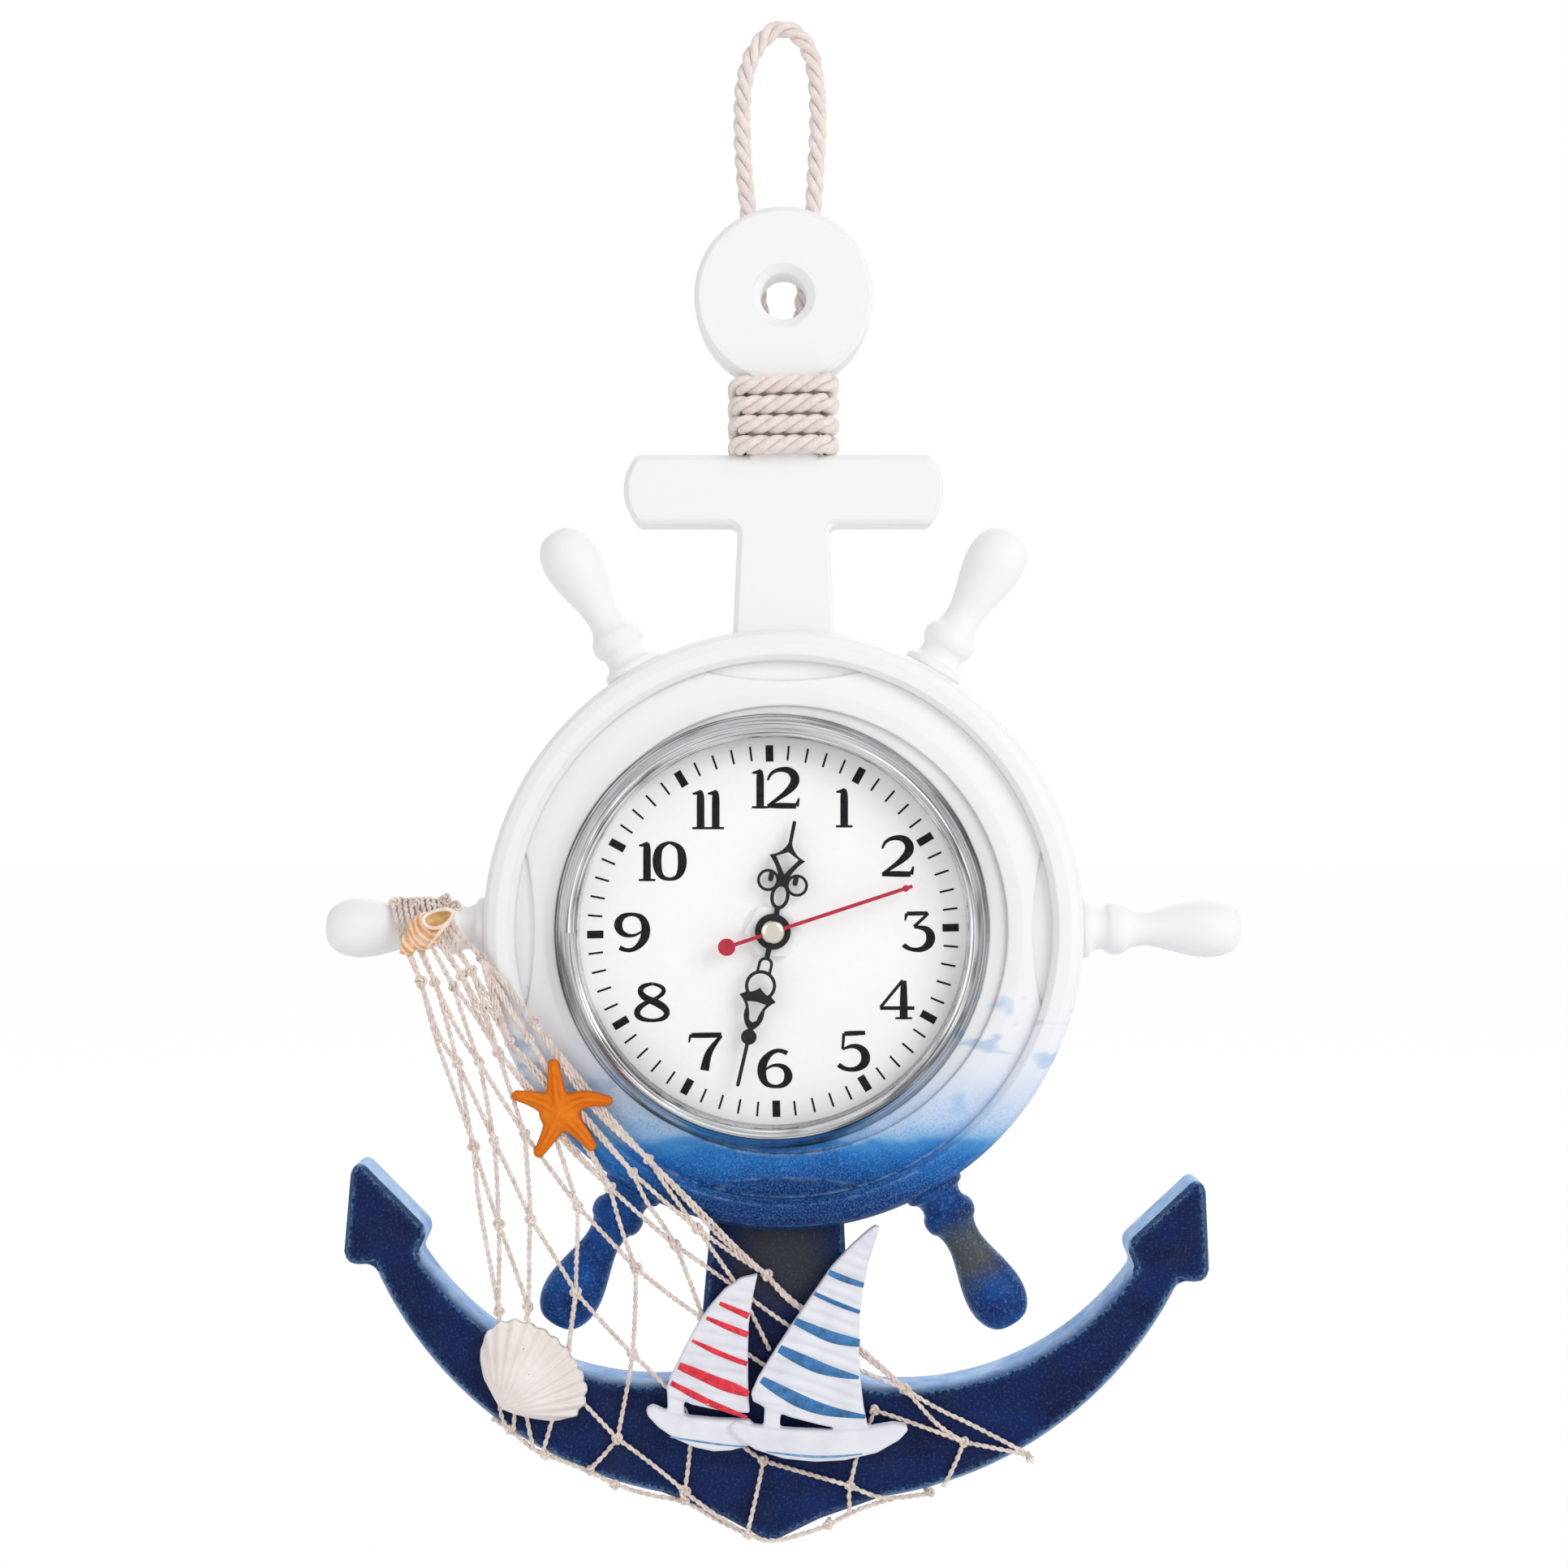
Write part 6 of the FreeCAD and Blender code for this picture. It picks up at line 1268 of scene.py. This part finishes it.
def makeScallop():
    form = bmesh.new()
    bmesh.ops.create_grid(form, x_segments=scallop["around"], y_segments=scallop["outwards"], size=0.5)
    first, last = scallop["reach"][0][0], scallop["reach"][-1][0]
    baseDepth, baseUp, lean = scallop["base"]
    for vertex in form.verts:
        way, out = vertex.co.x + 0.5, vertex.co.y + 0.5  # shares of the way round and outwards
        bearing = first + (last - first) * way
        rib = math.cos(math.tau * scallop["ribs"] * (way ** 0.95))
        reach = readOff(scallop["reach"], bearing) * (1 + scallop["ribReach"] * rib) * (0.04 + 0.96 * out)
        across = scallop["umbo"][0] + reach * math.cos(math.radians(bearing))
        up = scallop["umbo"][1] + reach * math.sin(math.radians(bearing))
        fan = math.sin(math.pi * min(max(way, 0.0), 1.0)) ** 0.45
        dome = math.sin(math.pi * (0.16 + 0.84 * out ** 0.85)) ** 0.8 if out < 0.999 else 0.0
        growth = scallop["growth"] * math.sin(out * scallop["growthLines"]) * out
        height = scallop["height"] * fan * dome + (scallop["ribHeight"] * rib * out + growth) * fan
        depth = baseDepth + lean * (up - baseUp) - scallop["sink"] + max(height, 0.05)
        vertex.co = onFront(across, depth, up)
    whole = form.faces[:] + form.edges[:] + form.verts[:]
    bmesh.ops.solidify(form, geom=whole, thickness=scallop["shell"] * mm)
    return fromBmesh("scallopShell", form)


def scallopFinish():
    material, tree, shader = startFinish("scallopCream", ink(246, 238, 228), 0.55)
    stops = ((0.3, ink(232, 220, 214)), (0.55, ink(239, 231, 227)), (0.8, ink(245, 241, 239)))
    tone = ramp(tree, (grain(tree, 110, 4, 0.6), "Fac"), stops)
    fleck = ramp(tree, (grain(tree, 620, 3, 0.8), "Fac"), ((0.69, 0.0), (0.74, 1.0)))
    flecked = mixed(tree, (fleck, "Color"), (tone, "Color"), ink(176, 132, 96))
    wire(tree, (flecked, 2), (shader, "Base Color"))
    bumped(tree, shader, (grain(tree, 900, 4, 0.7), "Fac"), 0.35, 0.2)
    return material


finishPiece(makeScallop(), scallopFinish(), "root", ("scallop_shell",))

# conch

conch = {
    "tip": (-86.0, 22.2, -4.6),
    "end": (-77.6, 20.8, 2.4),
    # share of the length from the tip, and the radius there in millimetres: one whorl after another
    "profile": (
        (0.0, 0.05), (0.02, 0.7), (0.06, 1.3), (0.09, 1.25), (0.13, 1.95), (0.2, 2.35), (0.27, 2.3),
        (0.31, 2.1), (0.36, 2.95), (0.46, 3.6), (0.6, 3.95), (0.78, 3.8), (0.92, 2.7), (0.98, 1.4),
        (1.0, 0.05),
    ),
    "least": 0.02,
    "sides": 48,
    "twist": 0.8,  # how far the steps climb in one turn, in millimetres
    "mouth": (-76.9, 26.6, 3.0),
    "mouthSize": (3.35, 1.85),
    "mouthTurn": 19.0,
    "lip": 0.42,
    "lipPoints": 48,
    "flare": 0.06,
    "bowl": 2.4,
    "bowlWall": 0.1,
    "column": ((-74.7, 26.4, 2.0), (-76.8, 26.6, -0.4), (-79.4, 25.2, -3.6)),
    "columnRadius": 0.62,
    "columnTaper": 0.75,
    "stripes": 4200.0,  # how fast they follow each other, in radians a metre
    "stripeDrift": 0.0016,
    "tones": ((0.2, ink(230, 160, 98)), (0.6, ink(240, 184, 128)), (0.92, ink(250, 220, 184))),
}


def mouthPlace():
    turn = Matrix.Rotation(math.radians(-conch["mouthTurn"]), 4, "Y")
    return Matrix.Translation(onFront(*conch["mouth"])) @ turn


def makeConch():
    tip, end = onFront(*conch["tip"]), onFront(*conch["end"])
    axis = end - tip
    form = bmesh.new()
    steps = rounded([(radius, part * axis.length / mm) for part, radius in conch["profile"]], 5)
    spun(form, [(max(radius, conch["least"]), height) for radius, height in steps], conch["sides"])
    for vertex in form.verts:  # the whorls climb round the shell
        swing = math.sin(math.atan2(vertex.co.y, vertex.co.x))
        vertex.co.z += conch["twist"] * swing * mm * 0.5
    bmesh.ops.holes_fill(form, edges=form.edges)
    placing = Matrix.Translation(tip) @ axis.to_track_quat("Z", "Y").to_matrix().to_4x4()
    bmesh.ops.transform(form, matrix=placing, verts=form.verts)
    return fromBmesh("conchShell", form)


def makeConchLip():
    wide, high = conch["mouthSize"]
    ring = []
    for index in range(conch["lipPoints"]):
        angle = math.tau * index / conch["lipPoints"]
        flare = 1 + conch["flare"] * math.sin(3 * angle + 0.6)
        spot = Vector((wide * flare * math.cos(angle) * mm, 0, high * flare * math.sin(angle) * mm))
        ring.append(mouthPlace() @ spot)
    ridge = smoothLine([onFront(*spot) for spot in conch["column"]], 10)
    thin = [1.0 - conch["columnTaper"] * index / (len(ridge) - 1) for index in range(len(ridge))]
    lip = tubes("conchLip", [ring], conch["lip"] * mm, 3, closed=True)
    column = tubes("conchColumn", [ridge], conch["columnRadius"] * mm, 3, radii=[thin])
    return joined("conchLip", [lip, column])


def makeConchMouth():
    form = bmesh.new()
    bmesh.ops.create_uvsphere(form, u_segments=40, v_segments=20, radius=1.0)
    wide, high = conch["mouthSize"]
    whole = form.verts[:] + form.edges[:] + form.faces[:]
    bmesh.ops.bisect_plane(form, geom=whole, plane_co=(0, 0, 0), plane_no=(0, -1, 0), clear_outer=True)
    shape = Matrix.Diagonal((wide * mm, conch["bowl"] * mm, high * mm, 1))
    bmesh.ops.transform(form, matrix=mouthPlace() @ shape, verts=form.verts)
    whole = form.verts[:] + form.edges[:] + form.faces[:]
    bmesh.ops.solidify(form, geom=whole, thickness=conch["bowlWall"] * mm)
    return fromBmesh("conchMouth", form)


def conchFinish():
    material, tree, shader = startFinish("stripedConch", ink(240, 200, 150), 0.32)
    tip, mouth = onFront(*conch["tip"]), onFront(*conch["mouth"])
    along = node(tree, "VectorMath", {1: (mouth - tip).normalized()}, operation="DOT_PRODUCT")
    wire(tree, (node(tree, "TexCoord"), "Object"), (along, 0))
    drift = maths(tree, "MULTIPLY", (grain(tree, 260, 3, 0.6), "Fac"), conch["stripeDrift"])
    height = maths(tree, "ADD", (along, "Value"), (drift, 0))
    waves = maths(tree, "SINE", (maths(tree, "MULTIPLY", (height, 0), conch["stripes"]), 0))
    halved = maths(tree, "MULTIPLY", (waves, 0), 0.5)
    stripe = ramp(tree, (maths(tree, "ADD", (halved, 0), 0.5), 0), conch["tones"])
    pale = ramp(tree, (grain(tree, 300, 4, 0.6), "Fac"), ((0.5, 0.0), (0.7, 0.45)))
    tone = mixed(tree, (pale, "Color"), (stripe, "Color"), ink(250, 240, 228))
    wire(tree, (tone, 2), (shader, "Base Color"))
    bumped(tree, shader, (waves, 0), 0.3, 0.2)
    return material


def mouthFinish(name, pale, deep):
    material, tree, shader = startFinish(name, pale, 0.3)
    tone = steer(tree, shader, "Base Color", grain(tree, 420, 3, 0.6), ((0.35, deep), (0.65, pale)))
    bumped(tree, shader, (tone, "Color"), 0.1, 0.1)
    return material


lipFinish = mouthFinish("conchLip", ink(246, 236, 228), ink(238, 214, 198))
bowlFinish = mouthFinish("conchMouth", ink(240, 208, 150), ink(214, 168, 96))
finishPiece(makeConch(), conchFinish(), "root", ("conch_shell",))
finishPiece(makeConchLip(), lipFinish, "root")
finishPiece(makeConchMouth(), bowlFinish, "root")
print("shells and starfish placed")

# boats, cast and painted

boatShape = {
    "sail": (2.8, 0.5),  # how thick, and how wide its front edge is rounded, in millimetres
    "post": (2.5, 0.3),
    "hull": (4.0, 0.9),
    "voxel": 0.3,
    "rippleFrom": 0.5,
    "ripple": 0.2,
    "rippleLength": 2.7,
    "hullTop": -107.5,  # the hulls, below this, have no ripples
    "pixel": 0.183,  # millimetres a pixel of a stripe's width
    "brush": (1.05, 0.94),  # half a stripe's width is the first and this share of its own width, in pixels
    "stripe": (0.05, 0.06),  # how far it lies above the cast, and how flat it is
    "waterline": (0.02, 0.08),
}
redBoat = {
    "sail": (
        (933, 1571), (927, 1600), (922, 1633), (921, 1665), (921, 1700), (923, 1742), (905, 1742),
        (880, 1738), (852, 1732), (828, 1722), (820, 1714), (824, 1700), (836, 1676), (848, 1652),
        (860, 1630), (876, 1608), (892, 1590), (912, 1576),
    ),
    "post": ((821, 1712), (842, 1716), (842, 1748), (822, 1746)),
    "hull": (
        (795, 1738), (803, 1734), (820, 1741), (850, 1748), (884, 1751), (922, 1752), (930, 1760),
        (926, 1782), (900, 1789), (878, 1790), (855, 1785), (830, 1774), (810, 1760), (797, 1746),
    ),
    "stripes": (
        ((886, 1606, 1.5), (904, 1614, 3.0), (922, 1622, 3.6)),
        ((870, 1624, 1.5), (896, 1636, 3.4), (921, 1645, 3.0)),
        ((852, 1652, 1.0), (888, 1670, 3.6), (920, 1681, 2.4)),
        ((836, 1683, 4.0), (874, 1700, 6.5), (906, 1712, 7.0), (922, 1718, 3.0)),
        ((826, 1704, 2.5), (862, 1724, 4.0), (896, 1738, 3.0), (920, 1747, 1.0)),
    ),
    "waterline": ((825, 1771, 0.8), (856, 1776, 1.4), (890, 1781, 1.4), (918, 1783, 0.8)),
    "ink": ink(222, 34, 56),
}
blueBoat = {
    "sail": (
        (1084, 1513), (1078, 1530), (1070, 1556), (1063, 1588), (1059, 1622), (1058, 1660), (1060, 1700),
        (1064, 1735), (1070, 1764), (1045, 1764), (1010, 1757), (975, 1748), (945, 1737), (927, 1728),
        (925, 1718), (934, 1698), (950, 1672), (972, 1638), (998, 1600), (1024, 1562), (1048, 1536),
        (1068, 1518), (1078, 1511),
    ),
    "post": ((942, 1728), (962, 1732), (960, 1764), (940, 1762)),
    "hull": (
        (898, 1757), (906, 1753), (930, 1759), (970, 1763), (1020, 1765), (1070, 1761), (1100, 1756),
        (1116, 1758), (1119, 1764), (1108, 1776), (1080, 1792), (1040, 1801), (1005, 1803), (965, 1799),
        (930, 1788), (908, 1774), (899, 1764),
    ),
    "stripes": (
        ((1021, 1568, 2.5), (1042, 1578, 4.0), (1064, 1584, 2.0)),
        ((1003, 1594, 1.5), (1032, 1608, 3.0), (1059, 1617, 1.5)),
        ((979, 1628, 3.5), (1010, 1643, 6.5), (1036, 1652, 7.0), (1059, 1655, 4.0)),
        ((960, 1662, 4.5), (990, 1678, 8.0), (1022, 1691, 6.5), (1058, 1698, 1.0)),
        ((938, 1700, 4.0), (966, 1718, 8.0), (1004, 1735, 8.0), (1040, 1743, 4.0), (1066, 1746, 1.5)),
    ),
    "waterline": ((944, 1789, 0.8), (985, 1795, 1.8), (1030, 1796, 1.8), (1062, 1792, 0.8)),
    "ink": ink(42, 110, 168),
}


def outlineSolid(name, outline, back, thick, soft):
    form = bmesh.new()
    corners = [form.verts.new(onFront(across, back, up)) for across, up in outline]
    face = form.faces.new(corners)
    grown = bmesh.ops.extrude_face_region(form, geom=[face])["geom"]
    moved = [item for item in grown if isinstance(item, bmesh.types.BMVert)]
    bmesh.ops.translate(form, verts=moved, vec=(0, -thick * mm, 0))
    front = [edge for edge in form.edges if all(vertex in moved for vertex in edge.verts)]
    bmesh.ops.bevel(form, geom=front, offset=soft * mm, segments=3, profile=0.5, affect="EDGES", material=-1)
    return fromBmesh(name, form)


def ripple(across, up):  # how far the cast sail's face stands out, in millimetres
    if up < boatShape["hullTop"]:
        return 0.0
    swept = up + 0.28 * across + 0.004 * across * across
    return boatShape["ripple"] * math.sin(swept * math.tau / boatShape["rippleLength"])


def castFinish():
    material, tree, shader = startFinish("castWhite", ink(230, 230, 238), 0.5, Specular_IOR_Level=0.3)
    stops = ((0.3, ink(222, 222, 232)), (0.6, ink(233, 233, 240)))
    steer(tree, shader, "Base Color", grain(tree, 150, 3, 0.55), stops)
    bumped(tree, shader, (grain(tree, 240, 2, 0.5, (0.6, 1, 2.4)), "Fac"), 0.35, 0.4)
    return material


def paintFinish(name, colour):
    material, tree, shader = startFinish(name, colour, 0.4)
    dab = grain(tree, 420, 4, 0.75)
    dark = tuple(level * 0.5 for level in colour[:3]) + (1.0,)
    light = tuple(min(1.0, level * 1.25 + 0.03) for level in colour[:3]) + (1.0,)
    steer(tree, shader, "Base Color", dab, ((0.32, dark), (0.5, colour), (0.72, light)))
    bumped(tree, shader, (dab, "Fac"), 0.3, 0.2)
    return material


def rippled(piece, beyond, rounding=False):  # ripples what lies in front of a depth, rounded first if asked
    form = bmesh.new()
    form.from_mesh(piece.data)
    if rounding:
        soften(form)
    for vertex in form.verts:
        if -vertex.co.y > beyond * mm:
            vertex.co.y -= ripple(vertex.co.x / mm, vertex.co.z / mm) * mm
    form.to_mesh(piece.data)
    form.free()
    shadeSmooth(piece.data)


def castBoat(name, boat, back):
    sailThick = boatShape["sail"][0]
    slabs = []
    for part in ("sail", "post", "hull"):
        thick, soft = boatShape[part]
        seenAt = back + (thick if part == "hull" else sailThick)
        outline = [pixelPlace(across, up, seenAt) for across, up in boat[part]]
        slabs.append(outlineSolid(name + part.title(), outline, back, thick, soft))
    whole = joined(name, [slab.data for slab in slabs])
    for slab in slabs:
        bpy.data.objects.remove(slab)
    fuse(whole, boatShape["voxel"])
    rippled(whole, back + boatShape["rippleFrom"], rounding=True)
    return whole


def makeBoat(name, boat, replaced, back, cast):
    finishPiece(castBoat(name, boat, back), cast, "root", (replaced,))
    scale = boatShape["pixel"]
    least, widthShare = boatShape["brush"]
    front = back + boatShape["sail"][0]
    strokes = [
        [(*pixelPlace(x, z, front), (least + width * widthShare) * scale) for x, z, width in stroke]
        for stroke in boat["stripes"]
    ]
    lift, flatness = boatShape["stripe"]
    stripes = penPiece(name + "Stripes", strokes, front + lift, flatness)
    rippled(stripes, 0.0)
    finishPiece(stripes, paintFinish(name + "Paint", boat["ink"]), "root")
    front = back + boatShape["hull"][0]
    line = [(*pixelPlace(across, up, front), width * scale) for across, up, width in boat["waterline"]]
    lift, flatness = boatShape["waterline"]
    waterline = penPiece(name + "Waterline", [line], front + lift, flatness)
    finishPiece(waterline, paintFinish(name + "WaterlinePaint", ink(112, 158, 204)), "root")


castWhite = castFinish()
makeBoat("redBoat", redBoat, "red_sailboat", 13.9, castWhite)
makeBoat("blueBoat", blueBoat, "blue_sailboat", 15.2, castWhite)
print("boats cast and painted")

# finishes of the CAD nodes that stay


def plainFinish(name, dark, pale, rough, scale, bump, metal=0.0, stretch=(1, 1, 1), **sockets):
    material, tree, shader = startFinish(name, pale, rough, metal, **sockets)
    cloud = grain(tree, scale, 4, 0.6, stretch)
    steer(tree, shader, "Base Color", cloud, ((0.3, dark), (0.7, pale)))
    steer(tree, shader, "Roughness", cloud, ((0.3, max(rough - 0.08, 0.02)), (0.7, min(rough + 0.1, 1.0))))
    bumped(tree, shader, (cloud, "Fac"), bump, 0.1)
    return material


def lensFinish():
    material, tree, shader = startFinish("clearLens", (1, 1, 1, 1), 0.02, Transmission_Weight=1.0, IOR=1.1)
    clear = node(tree, "BsdfTransparent")
    either = node(tree, "MixShader")
    path = node(tree, "LightPath")
    both = maths(tree, "MAXIMUM", (path, "Is Shadow Ray"), (path, "Is Diffuse Ray"))
    wire(tree, (both, 0), (either, 0))
    wire(tree, (shader, "BSDF"), (either, 1))
    wire(tree, (clear, "BSDF"), (either, 2))
    wire(tree, (either, 0), (tree.nodes["Material Output"], "Surface"))
    return material


steelFinish = plainFinish("platedSteel", ink(150, 152, 156), ink(196, 198, 202), 0.28, 900, 0.1, 1.0)
gearFinish = plainFinish("mouldedGear", ink(226, 222, 206), ink(240, 237, 226), 0.34, 500, 0.06)
ironFinish = plainFinish("stampedIron", ink(116, 118, 122), ink(160, 162, 166), 0.36, 500, 0.12, 1.0)
blackCase = plainFinish("mouldedBlack", ink(22, 22, 24), ink(34, 34, 37), 0.44, 1600, 0.25)
handTones = (ink(20, 20, 22), ink(34, 34, 37))
handFinish = plainFinish("blackedHand", *handTones, 0.4, 700, 0.08, Specular_IOR_Level=0.2)
lacquerFinish = plainFinish("lacqueredWasher", ink(242, 242, 242), ink(248, 248, 248), 0.5, 900, 0.05)
coilTones = (ink(156, 76, 34), ink(208, 112, 58))
caseTones = (ink(218, 219, 220), ink(234, 235, 235))
wheelNames = ("intermediate", "second", "third", "centre", "minute", "hour")
finishes = {
    "wheel_ring": seaFinish("seaPaintedRing", 9.0, 1.6),
    "anchor_top": seaFinish("seaPaintedBoard", 6.0, 1.4),
    "lens": lensFinish(),
    "gasket_band": plainFinish("rubberBand", ink(18, 18, 19), ink(32, 32, 33), 0.78, 900, 0.3),
    "dial": plainFinish("dialCard", ink(248, 248, 248), ink(251, 251, 251), 0.6, 800, 0.03),
    "second_hand": plainFinish("redHand", ink(160, 14, 42), ink(192, 24, 54), 0.34, 700, 0.06),
    "movement_front_case": plainFinish("mouldedWhite", *caseTones, 0.4, 1200, 0.2),
    "battery": plainFinish("plainJacket", ink(52, 56, 66), ink(70, 75, 86), 0.3, 300, 0.05, 0.6),
    "circuit_board": plainFinish("lacqueredBoard", ink(16, 70, 40), ink(30, 96, 56), 0.35, 600, 0.1),
    "coil_winding": plainFinish("enamelledCoil", *coilTones, 0.3, 2400, 0.6, 0.7, (0.05, 1, 1)),
    "rotor": plainFinish("magnetGrey", ink(70, 70, 74), ink(92, 92, 96), 0.35, 700, 0.1),
    **dict.fromkeys(("lap_screws", "contact_plus", "contact_minus"), steelFinish),
    **dict.fromkeys(("insert_case", "movement_rear_case"), blackCase),
    **dict.fromkeys(("hour_hand", "minute_hand"), handFinish),
    **dict.fromkeys(("movement_washer", "movement_nut"), lacquerFinish),
    **dict.fromkeys(("stator", "coil_bobbin"), ironFinish),
    **{name + "_wheel": gearFinish for name in wheelNames},
    "setting_knob": gearFinish,
}
for nodeName, finish in finishes.items():
    held = nodes[nodeName].data.materials
    for index in range(len(held)):
        held[index] = finish
print("finishes given to", len(finishes), "nodes")
